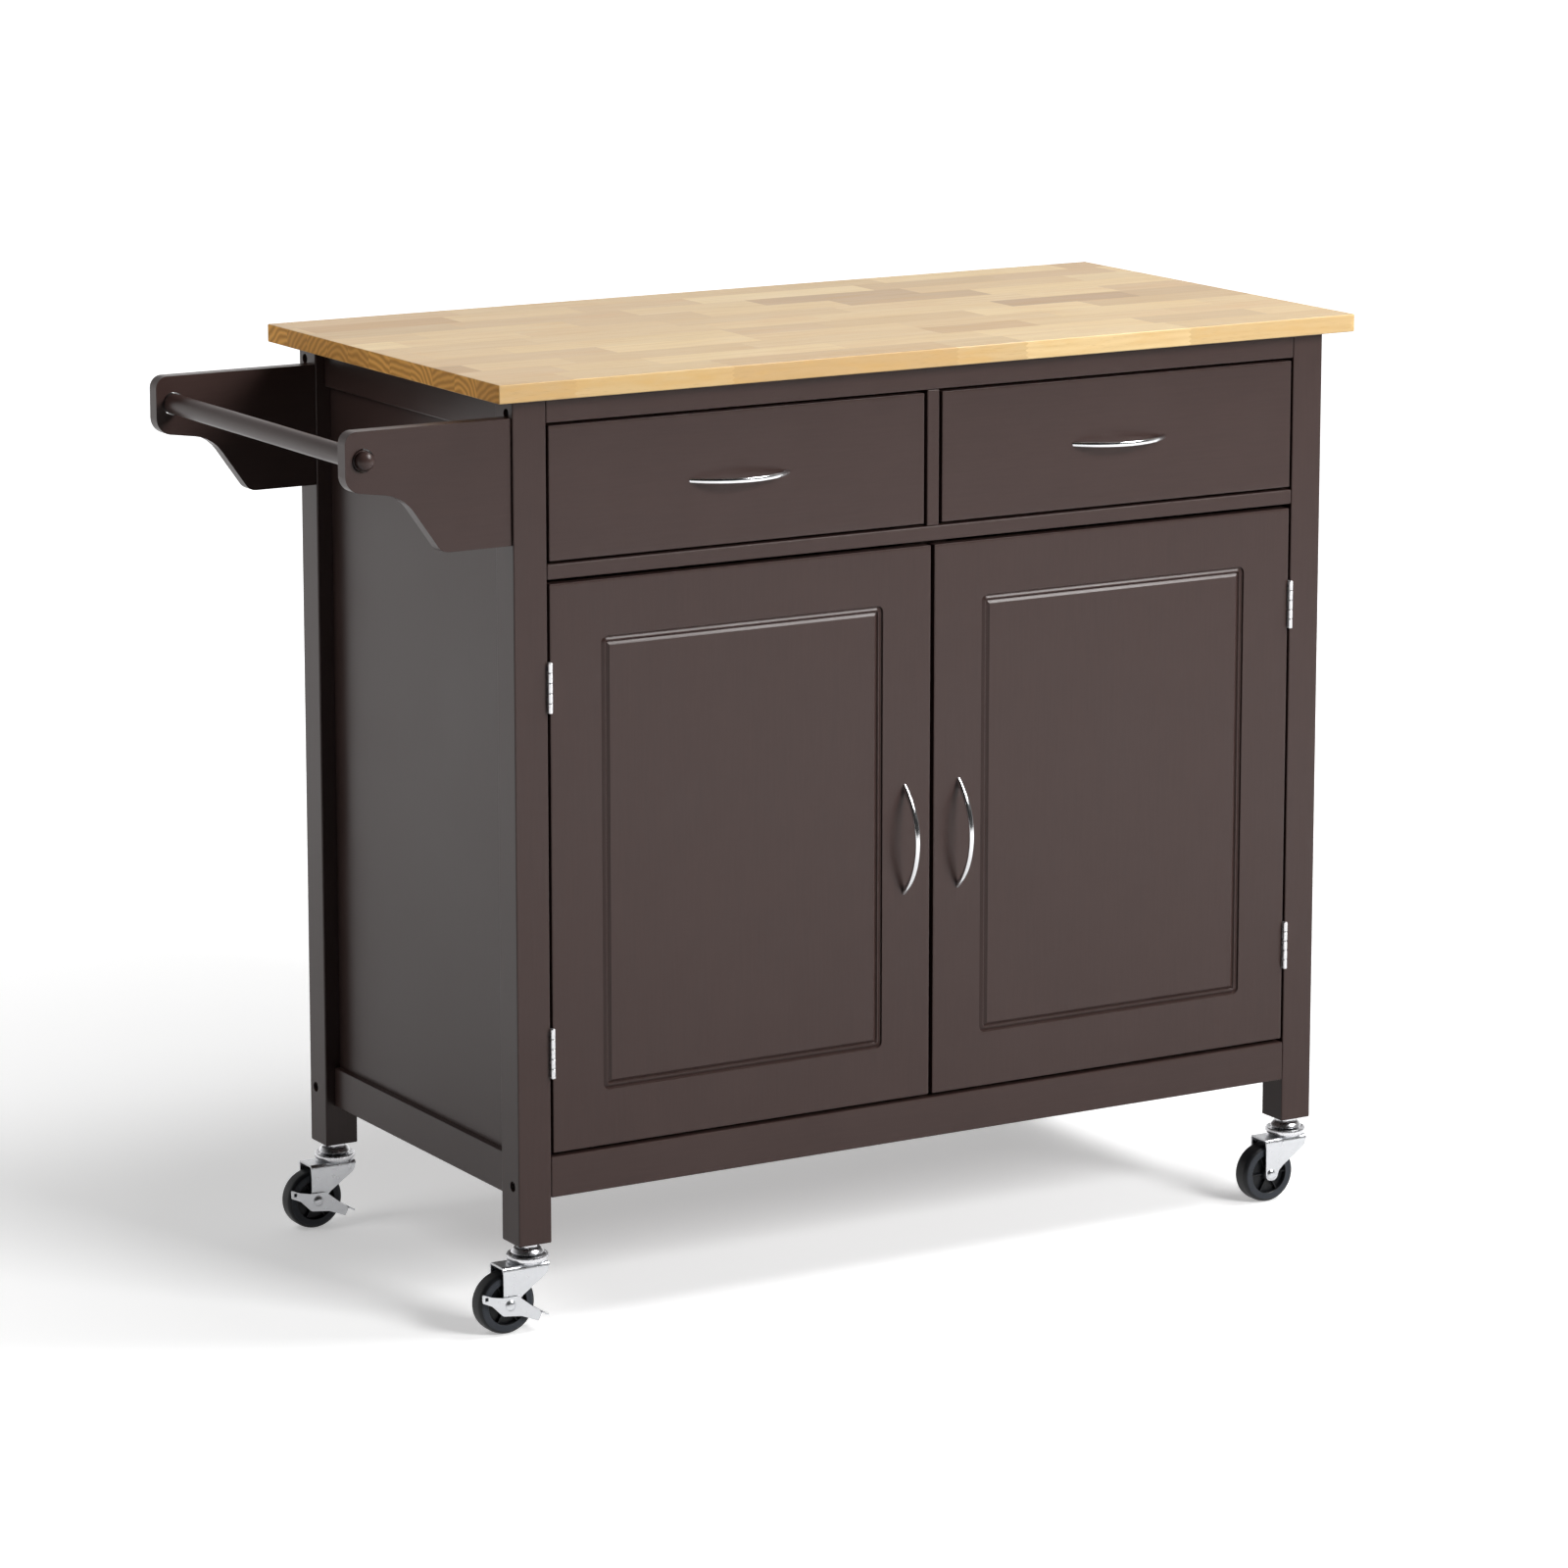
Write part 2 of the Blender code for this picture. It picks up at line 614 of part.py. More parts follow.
def fork_mesh(rivet_seat):
    """The swivelling half: the lower race, a folded fork and the axle, whose heads lie rivet_seat out."""
    half = FORK_WIDTH / 2
    back, top = AXLE.x - 0.0065, FORK_TOP
    outline = rounded([
        (back, top, 0.003),
        (back, AXLE.z - 0.0065, 0.0064),
        (AXLE.x + 0.0063, AXLE.z - 0.0065, 0.006),
        (AXLE.x + 0.0095, AXLE.z + 0.003, 0.004),
        (AXLE.x + 0.0145, AXLE.z + 0.0080, 0),
        (0.0122, 0.0600, 0.003),
        (0.0145, top, 0),
    ], math.radians(30))
    fork = prism(outline, "Y", -half, half)
    inside = half - FORK_WALL
    throat = box((back - 0.01, -inside, 0), (0.03, inside, top - FORK_WALL))
    race = turned([
        (0.010, top - 0.0005), (0.0165, top - 0.0005), (0.0165, RACE_LOW),
        (RACE_RADIUS, RACE_LOW), (RACE_RADIUS, RACE_HIGH - 0.001),
        (RACE_RADIUS - 0.001, RACE_HIGH), (0.010, RACE_HIGH),
    ], 24, True)
    plug = rod(0.0105, top - 0.001, RACE_HIGH - 0.0001, 16)
    bore = rod(KINGPIN_BORE_RADIUS, top - 0.02, RACE_HIGH + 0.01, 16)
    seat = half + rivet_seat
    axle = turned([
        (0, -seat - 0.0018), (RIVET_RADIUS - 0.0012, -seat - 0.0018), (RIVET_RADIUS, -seat),
        (AXLE_RADIUS, -seat), (AXLE_RADIUS, seat),
        (RIVET_RADIUS, seat), (RIVET_RADIUS - 0.0012, seat + 0.0018), (0, seat + 0.0018),
    ], 16, False, "Y")
    shell = carve(fork, cut=[throat])
    shell = carve(shell, add=[race, plug])
    return carve(shell, add=[moved(axle, AXLE)], cut=[bore])


def wheel_mesh():
    """A tyre on a hub with a sunk web, turned round Y through its own middle."""
    half, hub = WHEEL_WIDTH / 2, HUB_WIDTH / 2
    side = [
        (AXLE_BORE_RADIUS, hub), (0.0075, hub), (0.0075, half - 0.0050), (0.0225, half - 0.0050),
        (0.0232, half), (0.0278, half), (WHEEL_RADIUS, half - 0.0025),
    ]
    mirrored = [(radius, -along) for radius, along in side[::-1]]
    return turned(side + mirrored, 32, True, "Y")


def lever_mesh():
    """A brake lever round the axle: a cheek outside each fork leg and a pedal that joins them."""
    half = FORK_WIDTH / 2 + GAP
    outline = rounded([
        (-0.0300, 0.0150, 0.001), (-0.0295, 0.0065, 0.001), (-0.0195, 0.0020, 0.004),
        (-0.0080, -0.0095, 0.006), (0.0120, -0.0120, 0.008), (0.0300, -0.0195, 0.001),
        (0.0345, -0.0105, 0.001), (0.0255, -0.0055, 0.004), (0.0080, 0.0085, 0.008),
        (-0.0080, 0.0085, 0.004), (-0.0200, 0.0110, 0.003),
    ], math.radians(30))
    near = prism(outline, "Y", -half - LEVER_WALL, -half)
    far = prism(outline, "Y", half, half + LEVER_WALL)
    pedal = [(0.0312, -0.0088), (0.0410, -0.0142), (0.0405, -0.0158), (0.0325, -0.0116), (0.0318, -0.0105)]
    web = prism(pedal, "Y", -half - LEVER_WALL, half + LEVER_WALL)
    hole = turned([(0, -0.03), (0.0029, -0.03), (0.0029, 0.03), (0, 0.03)], 16, False, "Y")
    peg = box((-0.0268, -0.03, 0.0085), (-0.0238, 0.03, 0.0115))
    return carve(near, add=[far, web], cut=[hole, peg])


def make_casters(cart, zinc, rubber):
    stem, wheel, lever = stem_mesh(), wheel_mesh(), lever_mesh()
    forks = {True: fork_mesh(LEVER_WALL + 2 * GAP), False: fork_mesh(0)}
    for side, x in (("left", POST / 2), ("right", WIDTH - POST / 2)):
        for end, y in (("front", POST / 2), ("back", DEPTH - POST / 2)):
            braked = side == "left"
            corner = f"{end}_{side}"
            floor = Vector((x, y, 0))
            place(f"caster_stem_{corner}", stem.copy(), zinc, cart, floor)
            swivel = pivot(f"caster_{corner}_swivel", floor, cart)
            place(f"caster_fork_{corner}", forks[braked].copy(), zinc, swivel, floor)
            axle = pivot(f"caster_{corner}_axle", floor + AXLE, swivel)
            place(f"caster_wheel_{corner}", wheel.copy(), rubber, axle, floor + AXLE)
            if braked:
                place(f"caster_brake_{corner}", lever.copy(), zinc, axle, floor + AXLE)


def main():
    clear_scene()
    cart = bpy.data.objects.new("cart", None)
    bpy.context.scene.collection.objects.link(cart)
    cart["carcass"] = (0, 0, 0)
    cart.location = -MIDDLE
    paint = finish("espresso_paint", ESPRESSO, 0.42)
    butcher_block = finish("butcher_block", RUBBERWOOD, 0.45)
    drawer_wood = finish("drawer_wood", DRAWER_WOOD, 0.6)
    chrome = finish("chrome", CHROME, 0.12, 1.0)
    zinc = finish("zinc_plate", ZINC, 0.32, 1.0)
    rubber = finish("black_rubber", BLACK_RUBBER, 0.55)
    plastic = finish("brown_plastic", BROWN_PLASTIC, 0.5)
    make_top(cart, butcher_block)
    make_posts(cart, paint)
    make_rails(cart, paint)
    make_panels(cart, paint)
    make_boards(cart, paint, drawer_wood)
    make_catch(cart, plastic)
    leaves = hinge_meshes()
    for side in (-1, 1):
        make_drawer(side, cart, paint, drawer_wood, chrome)
        make_door(side, cart, paint, chrome, leaves)
    make_towel_rail(cart, paint)
    make_casters(cart, zinc, rubber)


main()
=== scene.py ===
# %% [markdown]
# # A rolling butcher block table
#
# This lesson dresses a finished model of a kitchen cart: a glued wooden top on a dark painted
# cabinet with two drawers, two doors, a towel rail and four swivel casters. The sizes and the
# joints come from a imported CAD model, called the frame. Everything here is laid over that frame in
# the same coordinates, so a new piece goes exactly where the CAD solid it stands for already is.

# %% Load the frame
import math

import bmesh
import bpy
from mathutils import Matrix, Vector


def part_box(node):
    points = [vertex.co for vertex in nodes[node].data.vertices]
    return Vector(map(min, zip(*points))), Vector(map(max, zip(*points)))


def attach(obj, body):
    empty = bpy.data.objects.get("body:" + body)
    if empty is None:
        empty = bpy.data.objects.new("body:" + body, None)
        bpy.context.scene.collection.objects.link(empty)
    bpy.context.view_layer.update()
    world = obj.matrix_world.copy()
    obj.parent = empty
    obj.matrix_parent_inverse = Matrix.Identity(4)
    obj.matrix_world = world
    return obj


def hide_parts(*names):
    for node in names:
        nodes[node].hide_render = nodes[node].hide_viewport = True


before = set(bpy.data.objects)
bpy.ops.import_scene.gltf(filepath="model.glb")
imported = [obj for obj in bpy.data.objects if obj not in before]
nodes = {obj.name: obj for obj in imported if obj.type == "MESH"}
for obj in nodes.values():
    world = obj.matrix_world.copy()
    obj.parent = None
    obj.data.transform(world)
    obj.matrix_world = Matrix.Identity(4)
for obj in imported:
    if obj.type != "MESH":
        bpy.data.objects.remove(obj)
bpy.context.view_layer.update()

# %% [markdown]
# The cabinet was drawn from the outer front corner of its left front post. That corner is read
# from the frame, so every length below can be given as a cabinet maker would measure it: x to the
# right along the front, y back from the face of the posts, z up from the floor.

# %% Find the corner that everything is measured from
CORNER = Vector(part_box("post_front_left")[0])
CORNER.z = 0
POST = 0.035
GAP = 0.0003
EASE = 0.0012


def size_of(node):
    """The low and high corner of a CAD node, measured from the cabinet's corner."""
    low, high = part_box(node)
    return Vector(low) - CORNER, Vector(high) - CORNER


WIDTH = size_of("post_front_right")[1].x
DEPTH = size_of("post_back_left")[1].y
print("Cabinet over its posts:", round(WIDTH, 4), "by", round(DEPTH, 4))

# %% [markdown]
# ## Camera
#
# The cart is seen from its left front corner, a little above the top, with a long lens from about
# five metres away. A long lens keeps the upright edges nearly parallel, as a catalogue view does.

# %% Set the camera
camera_data = bpy.data.cameras.new("camera")
camera = bpy.data.objects.new("camera", camera_data)
bpy.context.scene.collection.objects.link(camera)
camera.location = (-2.9337, -5.0128, 1.7087)
LOOKING_DOWN = 10.684
TURNED_RIGHT = 30.649
camera.rotation_euler = (math.radians(90 - LOOKING_DOWN), 0, math.radians(-TURNED_RIGHT))
camera_data.lens = 136.102
camera_data.sensor_width = 36
camera_data.shift_y = -0.1
camera_data.clip_end = 60
bpy.context.scene.camera = camera
bpy.context.scene.view_settings.view_transform = "Standard"
print("Camera", round(camera.location.length, 2), "m from the middle of the cart")

# %% [markdown]
# ## Node trees
#
# Materials and Geometry Nodes are both trees of nodes. Two small helpers keep them readable: one
# adds a node and fills its inputs, the other adds a sum. An input that is given another node's
# socket is linked to it, and anything else is set as a plain value.


# %% Helpers that build node trees
def add(tree, kind, inputs=None, **settings):
    """Adds a node, applies its settings, and sets or links the inputs named."""
    node = tree.nodes.new(kind)
    for name, value in settings.items():
        setattr(node, name, value)
    for name, value in (inputs or {}).items():
        if isinstance(value, bpy.types.NodeSocket):
            tree.links.new(value, node.inputs[name])
        else:
            node.inputs[name].default_value = value
    return node


def maths(tree, operation, *values):
    """A number worked out from up to three numbers or sockets."""
    return add(tree, "ShaderNodeMath", dict(enumerate(values)), operation=operation).outputs[0]


def vector_maths(tree, operation, *values, out="Vector"):
    """A vector, or with out="Value" a number, worked out from vectors."""
    kind = "ShaderNodeVectorMath"
    return add(tree, kind, dict(enumerate(values)), operation=operation).outputs[out]


def split(tree, vector):
    return add(tree, "ShaderNodeSeparateXYZ", {0: vector}).outputs


def join(tree, x, y, z):
    return add(tree, "ShaderNodeCombineXYZ", {0: x, 1: y, 2: z}).outputs[0]


def spread(tree, value, low, high, new_low, new_high):
    """Maps low to high onto new_low to new_high, and stops at both ends."""
    inputs = {"Value": value, "From Min": low, "From Max": high}
    inputs.update({"To Min": new_low, "To Max": new_high})
    return add(tree, "ShaderNodeMapRange", inputs).outputs[0]


def blend_colours(tree, factor, first, second):
    """Colours mixed by a factor; sockets 6 and 7 of the node are its two colours."""
    node = add(tree, "ShaderNodeMix", {0: factor}, data_type="RGBA")
    for index, colour in ((6, first), (7, second)):
        if isinstance(colour, bpy.types.NodeSocket):
            tree.links.new(colour, node.inputs[index])
        else:
            node.inputs[index].default_value = (*colour, 1)
    return node.outputs[2]


def noise_at(tree, vector, scale, detail=3.0, roughness=0.5, out=0):
    inputs = {"Vector": vector, "Scale": scale, "Detail": detail, "Roughness": roughness}
    return add(tree, "ShaderNodeTexNoise", inputs).outputs[out]


def stretched(tree, scale=(1, 1, 1)):
    """Object coordinates, scaled by a different amount along each axis."""
    place = add(tree, "ShaderNodeTexCoord").outputs["Object"]
    return add(tree, "ShaderNodeMapping", {"Vector": place, "Scale": scale}).outputs[0]


def new_finish(name, **values):
    """A material, its tree and its shader; each value is set on the shader's own socket."""
    material = bpy.data.materials.new(name)
    material.use_nodes = True
    tree = material.node_tree
    shader = tree.nodes["Principled BSDF"]
    for socket, value in values.items():
        shader.inputs[socket.replace("_", " ")].default_value = value
    return material, tree, shader


def relief(tree, shader, height, depth):
    """Fine bumps, their height from 0 to 1 over a real depth in metres."""
    bump = add(tree, "ShaderNodeBump", {"Height": height, "Distance": depth, "Strength": 1.0})
    tree.links.new(bump.outputs[0], shader.inputs["Normal"])


print("Helpers ready")

# %% [markdown]
# ## Espresso paint
#
# The cabinet is rubberwood and board under a sprayed espresso lacquer. The lacquer hides the
# colour of the wood but sinks a little into its pores, so close up there are faint streaks along
# the grain and a soft orange-peel ripple over them. The streaks have to run along each board, so
# the same finish is made three times, once for boards that lie along each axis.

# %% Make the espresso paint for each grain direction
ESPRESSO = (0.0500, 0.0290, 0.0255)


def espresso(axis):
    """Lacquer whose streaks run along one axis, with slow clouds and a fine orange peel."""
    material, tree, shader = new_finish(f"espresso_{axis}", Specular_IOR_Level=0.25)
    along = [1.0, 1.0, 1.0]
    along["xyz".index(axis)] = 0.05
    streaks = noise_at(tree, stretched(tree, along), 420, 4, 0.65)
    clouds = noise_at(tree, stretched(tree), 9, 2)
    peel = noise_at(tree, stretched(tree), 700, 1)
    darker = tuple(0.94 * part for part in ESPRESSO)
    lighter = tuple(1.06 * part for part in ESPRESSO)
    amount = spread(tree, streaks, 0.3, 0.7, 0.0, 1.0)
    colour = blend_colours(tree, amount, darker, lighter)
    worn = maths(tree, "MULTIPLY", spread(tree, clouds, 0.45, 0.75, 0, 1), 0.35)
    colour = blend_colours(tree, worn, colour, (0.062, 0.039, 0.035))
    tree.links.new(colour, shader.inputs["Base Color"])
    rough = spread(tree, maths(tree, "ADD", streaks, clouds), 0.7, 1.3, 0.29, 0.36)
    tree.links.new(rough, shader.inputs["Roughness"])
    height = maths(tree, "MULTIPLY_ADD", streaks, 0.7, maths(tree, "MULTIPLY", peel, 0.3))
    relief(tree, shader, height, 0.00004)
    return material


paint = {axis: espresso(axis) for axis in "xyz"}
print("Espresso paint made for grain along", ", ".join(paint))

# %% [markdown]
# ## Butcher block
#
# The top is glued up from solid rubberwood staves. Wood is not a picture on a surface: its growth
# rings go right through, so they are made here as rings in space round a pith line, one line for
# each stave. The same rings then give long streaks on the face and arcs on the end grain, as
# sawing a real stave does. Each stave carries its own tone, centre and pith as attributes.


# %% Make the wood of the staves
def stave_value(tree, name):
    return add(tree, "ShaderNodeAttribute", attribute_name=name)


RING_WIDTH = 0.0070


def butcher_block():
    """Wood made in space: rings round each stave's pith, then streaks, pores, joints and ends."""
    material, tree, shader = new_finish("butcher_block", Specular_IOR_Level=0.5)
    place = add(tree, "ShaderNodeTexCoord").outputs["Object"]
    centre = stave_value(tree, "stave_centre").outputs["Vector"]
    pith = stave_value(tree, "stave_pith").outputs["Vector"]
    half = split(tree, stave_value(tree, "stave_half").outputs["Vector"])
    tone = stave_value(tree, "stave_tone").outputs["Fac"]
    local = vector_maths(tree, "SUBTRACT", place, centre)
    shifted = vector_maths(tree, "ADD", local, vector_maths(tree, "MULTIPLY", pith, (90, 70, 50)))
    slow = vector_maths(tree, "MULTIPLY", shifted, (0.22, 1, 1))
    sway = noise_at(tree, slow, 22, 2, 0.5, out="Color")
    sway = vector_maths(tree, "MULTIPLY", vector_maths(tree, "SUBTRACT", sway, (0.5, 0.5, 0.5)),
                        (0, 0.022, 0.022))
    from_pith = vector_maths(tree, "SUBTRACT", local, pith)
    parts = split(tree, vector_maths(tree, "ADD", from_pith, sway))
    flat = join(tree, 0, parts[1], parts[2])
    radius = vector_maths(tree, "LENGTH", flat, out="Value")
    ring = maths(tree, "SINE", maths(tree, "MULTIPLY", radius, math.tau / RING_WIDTH))
    ring = spread(tree, ring, -1, 1, 0, 1)
    streak = noise_at(tree, vector_maths(tree, "MULTIPLY", shifted, (0.04, 1, 1)), 260, 4, 0.6)
    pores = noise_at(tree, vector_maths(tree, "MULTIPLY", shifted, (0.05, 1, 1)), 1300, 2, 0.6)
    pores = spread(tree, pores, 0.58, 0.72, 0, 1)
    patch = noise_at(tree, vector_maths(tree, "MULTIPLY", shifted, (0.35, 1, 1)), 26, 3, 0.55)

    ramp = add(tree, "ShaderNodeValToRGB", {0: tone})
    stops = ramp.color_ramp
    shades = [
        (0.00, (0.830, 0.600, 0.290)), (0.25, (0.640, 0.420, 0.205)),
        (0.45, (0.800, 0.570, 0.270)), (0.62, (0.480, 0.290, 0.130)),
        (0.80, (0.850, 0.630, 0.320)), (1.00, (0.560, 0.330, 0.130)),
    ]
    for index, (where, shade) in enumerate(shades):
        stop = stops.elements[index] if index < 2 else stops.elements.new(where)
        stop.position = where
        stop.color = (*shade, 1)
    colour = ramp.outputs[0]
    late = maths(tree, "MULTIPLY", ring, spread(tree, streak, 0.35, 0.7, 0.04, 0.34))
    colour = blend_colours(tree, late, colour, (0.60, 0.36, 0.13))
    patched = maths(tree, "MULTIPLY", spread(tree, patch, 0.52, 0.75, 0, 1), 0.35)
    colour = blend_colours(tree, patched, colour, (0.70, 0.40, 0.14))
    colour = blend_colours(tree, maths(tree, "MULTIPLY", pores, 0.30), colour, (0.42, 0.24, 0.10))

    away = split(tree, local)
    glue = []
    for index, width in ((0, 0.00030), (1, 0.00024)):
        left = maths(tree, "SUBTRACT", half[index], maths(tree, "ABSOLUTE", away[index]))
        glue.append(spread(tree, left, 0, width, 0.38, 0))
    facing = split(tree, add(tree, "ShaderNodeNewGeometry").outputs["True Normal"])
    upward = spread(tree, maths(tree, "ABSOLUTE", facing[2]), 0.7, 0.95, 0, 1)
    along = spread(tree, maths(tree, "ABSOLUTE", facing[1]), 0.6, 0.95, 0, 1)
    figure = noise_at(tree, vector_maths(tree, "MULTIPLY", shifted, (0.25, 1, 1)), 60, 4, 0.6)
    figure = maths(tree, "MULTIPLY", spread(tree, figure, 0.50, 0.66, 0, 0.35), along)
    colour = blend_colours(tree, figure, colour, (0.72, 0.42, 0.12))
    line = maths(tree, "MULTIPLY", maths(tree, "MAXIMUM", *glue), upward)
    colour = blend_colours(tree, line, colour, (0.30, 0.17, 0.07))
    end = spread(tree, maths(tree, "ABSOLUTE", facing[0]), 0.6, 0.95, 0, 1)
    soaked = blend_colours(tree, ring, (0.90, 0.450, 0.080), (0.52, 0.220, 0.026))
    soaked = blend_colours(tree, maths(tree, "MULTIPLY", tone, 0.5), soaked, (0.44, 0.190, 0.028))
    colour = blend_colours(tree, end, colour, soaked)
    tree.links.new(colour, shader.inputs["Base Color"])
    rough = spread(tree, streak, 0.3, 0.7, 0.32, 0.44)
    rough = maths(tree, "MULTIPLY_ADD", end, 0.4, rough)
    tree.links.new(rough, shader.inputs["Roughness"])
    height = maths(tree, "SUBTRACT", maths(tree, "MULTIPLY", streak, 0.5),
                   maths(tree, "MULTIPLY", pores, 0.4))
    relief(tree, shader, height, 0.00005)
    return material


block_wood = butcher_block()
print("Butcher block wood made")

# %% [markdown]
# ## Drawer wood
#
# Inside, the drawer boxes are plain clear-lacquered board, seen only when a drawer is pulled out.
# Their grain runs from front to back, so the streaks are stretched along y.


# %% Make the drawer wood
def plain_wood():
    """Clear-lacquered board with its grain along y."""
    material, tree, shader = new_finish("drawer_wood")
    fine = noise_at(tree, stretched(tree, (1, 0.04, 1)), 300, 4, 0.6)
    broad = noise_at(tree, stretched(tree, (1, 0.12, 1)), 40, 3, 0.55)
    wave = maths(tree, "SINE", maths(tree, "MULTIPLY", broad, 60))
    amount = spread(tree, fine, 0.3, 0.7, 0, 1)
    colour = blend_colours(tree, amount, (0.62, 0.44, 0.26), (0.72, 0.55, 0.36))
    colour = blend_colours(tree, spread(tree, wave, -1, 1, 0, 0.25), colour, (0.50, 0.33, 0.17))
    tree.links.new(colour, shader.inputs["Base Color"])
    tree.links.new(spread(tree, fine, 0.3, 0.7, 0.5, 0.65), shader.inputs["Roughness"])
    relief(tree, shader, fine, 0.00006)
    return material


drawer_wood = plain_wood()
print("Drawer wood made")

# %% [markdown]
# ## Metals, rubber and plastic
#
# The handles and hinges are bright chrome. The casters are zinc plated steel: a duller, greyer
# metal with a faint mottle from the plating bath. The wheels are hard black rubber, dusty on the
# rim, and the magnetic catch is brown moulded plastic.


# %% Make the metals
def plated(name, colour, low, high, scale, depth):
    """A plated metal, its roughness between low and high in a faint mottle."""
    material, tree, shader = new_finish(name, Metallic=1.0)
    mottle = noise_at(tree, stretched(tree), scale, 3, 0.6)
    duller = tuple(0.96 * part for part in colour)
    shade = blend_colours(tree, spread(tree, mottle, 0.35, 0.65, 0, 1), duller, colour)
    tree.links.new(shade, shader.inputs["Base Color"])
    tree.links.new(spread(tree, mottle, 0.3, 0.7, low, high), shader.inputs["Roughness"])
    relief(tree, shader, mottle, depth)
    return material


chrome = plated("chrome", (0.64, 0.64, 0.65), 0.13, 0.19, 90, 0.000003)
zinc = plated("zinc_plate", (0.62, 0.63, 0.65), 0.26, 0.34, 160, 0.000003)
satin_chrome = plated("satin_chrome", (0.58, 0.58, 0.59), 0.24, 0.32, 120, 0.000004)
bright_zinc = plated("bright_zinc", (0.72, 0.72, 0.74), 0.24, 0.32, 200, 0.000004)


# %% Make the rubber and the plastic
def moulded(name, colour, dust, roughness, scale, depth):
    """A moulded rubber or plastic with a fine grain and a cloudy film of dust."""
    material, tree, shader = new_finish(name, Specular_IOR_Level=0.3)
    grain = noise_at(tree, stretched(tree), scale, 3, 0.6)
    cloud = noise_at(tree, stretched(tree), 60, 3, 0.6)
    shade = blend_colours(tree, spread(tree, cloud, 0.4, 0.75, 0, 0.6), colour, dust)
    tree.links.new(shade, shader.inputs["Base Color"])
    rough = spread(tree, grain, 0.3, 0.7, roughness - 0.06, roughness + 0.06)
    tree.links.new(rough, shader.inputs["Roughness"])
    relief(tree, shader, grain, depth)
    return material


rubber = moulded("black_rubber", (0.006, 0.0065, 0.0078), (0.010, 0.0108, 0.0125),
                 0.45, 1500, 0.00002)
wheel_face = moulded("wheel_face", (0.032, 0.036, 0.044), (0.042, 0.046, 0.054),
                     0.5, 1500, 0.00002)
plastic = moulded("brown_plastic", (0.060, 0.040, 0.034), (0.072, 0.050, 0.043),
                  0.4, 900, 0.00001)
print("Metals, rubber and plastic made")

# %% [markdown]
# ## Mesh helpers
#
# A new piece is drawn measured from the cabinet's corner and then shifted once into the frame's
# coordinates, in its mesh, so that its object can stay at the origin. It rides on the body that
# carries it, takes the place of its CAD nodes, and names the finish it belongs to.


# %% Helpers for closed meshes
def to_mesh(bm, name):
    """Turns every face outwards and hands the shape over as a mesh."""
    bmesh.ops.recalc_face_normals(bm, faces=bm.faces)
    mesh = bpy.data.meshes.new(name)
    bm.to_mesh(mesh)
    bm.free()
    return mesh


def finish_piece(name, mesh, material, body, replaced=(), angle=35):
    """Makes a piece from a mesh that is measured from the cabinet's corner."""
    mesh.name = name
    mesh.transform(Matrix.Translation(CORNER))
    if material:
        mesh.materials.clear()
        mesh.materials.append(material)
    mesh.shade_smooth()
    mesh.set_sharp_from_angle(angle=math.radians(angle))
    piece = bpy.data.objects.new(name, mesh)
    bpy.context.scene.collection.objects.link(piece)
    weighted = piece.modifiers.new("flat_faces_first", "WEIGHTED_NORMAL")
    weighted.keep_sharp = True
    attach(piece, body)
    if replaced:
        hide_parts(*replaced)
    return piece


def skin(loops, closed=False):
    """A surface over a row of equal loops, its ends capped, or joined up when closed."""
    bm = bmesh.new()
    rings = [[bm.verts.new(point) for point in loop] for loop in loops]
    pairs = list(zip(rings, rings[1:]))
    if closed:
        pairs.append((rings[-1], rings[0]))
    for one, two in pairs:
        for index in range(len(one)):
            after = (index + 1) % len(one)
            bm.faces.new((one[index], one[after], two[after], two[index]))
    if not closed:
        bm.faces.new(rings[0][::-1])
        bm.faces.new(rings[-1])
    return bm


def turned(profile, segments, axis="Z", closed=False):
    """(radius, height) points turned round Z or Y. Points on the axis are merged to one."""
    loops = []
    for radius, height in profile:
        loop = []
        for number in range(segments):
            angle = math.tau * number / segments
            across, other = radius * math.cos(angle), radius * math.sin(angle)
            loop.append((across, other, height) if axis == "Z" else (across, height, other))
        loops.append(loop)
    bm = skin(loops, closed=closed)
    bmesh.ops.remove_doubles(bm, verts=bm.verts, dist=1e-6)
    return to_mesh(bm, "turned")


def arc_points(centre, radius, start, stop, count):
    """Points on an arc in a plane, its angles in degrees."""
    points = []
    for number in range(count + 1):
        angle = math.radians(start + (stop - start) * number / count)
        points.append((centre[0] + radius * math.cos(angle), centre[1] + radius * math.sin(angle)))
    return points


def rounded(corners, step=math.radians(9)):
    """An outline from (x, y, radius) corners, each radius drawn as an arc."""
    outline = []
    for index, (x, y, radius) in enumerate(corners):
        here = Vector((x, y))
        before = (Vector(corners[index - 1][:2]) - here).normalized()
        after = (Vector(corners[(index + 1) % len(corners)][:2]) - here).normalized()
        if not radius:
            outline.append((x, y))
            continue
        half = before.angle(after) / 2
        centre = here + (before + after).normalized() * radius / math.sin(half)
        start = here + before * radius / math.tan(half) - centre
        sweep = (math.pi - 2 * half) * (-1 if before.cross(after) > 0 else 1)
        count = max(2, round(abs(sweep) / step))
        for number in range(count + 1):
            outline.append(tuple(centre + Matrix.Rotation(sweep * number / count, 2) @ start))
    return outline


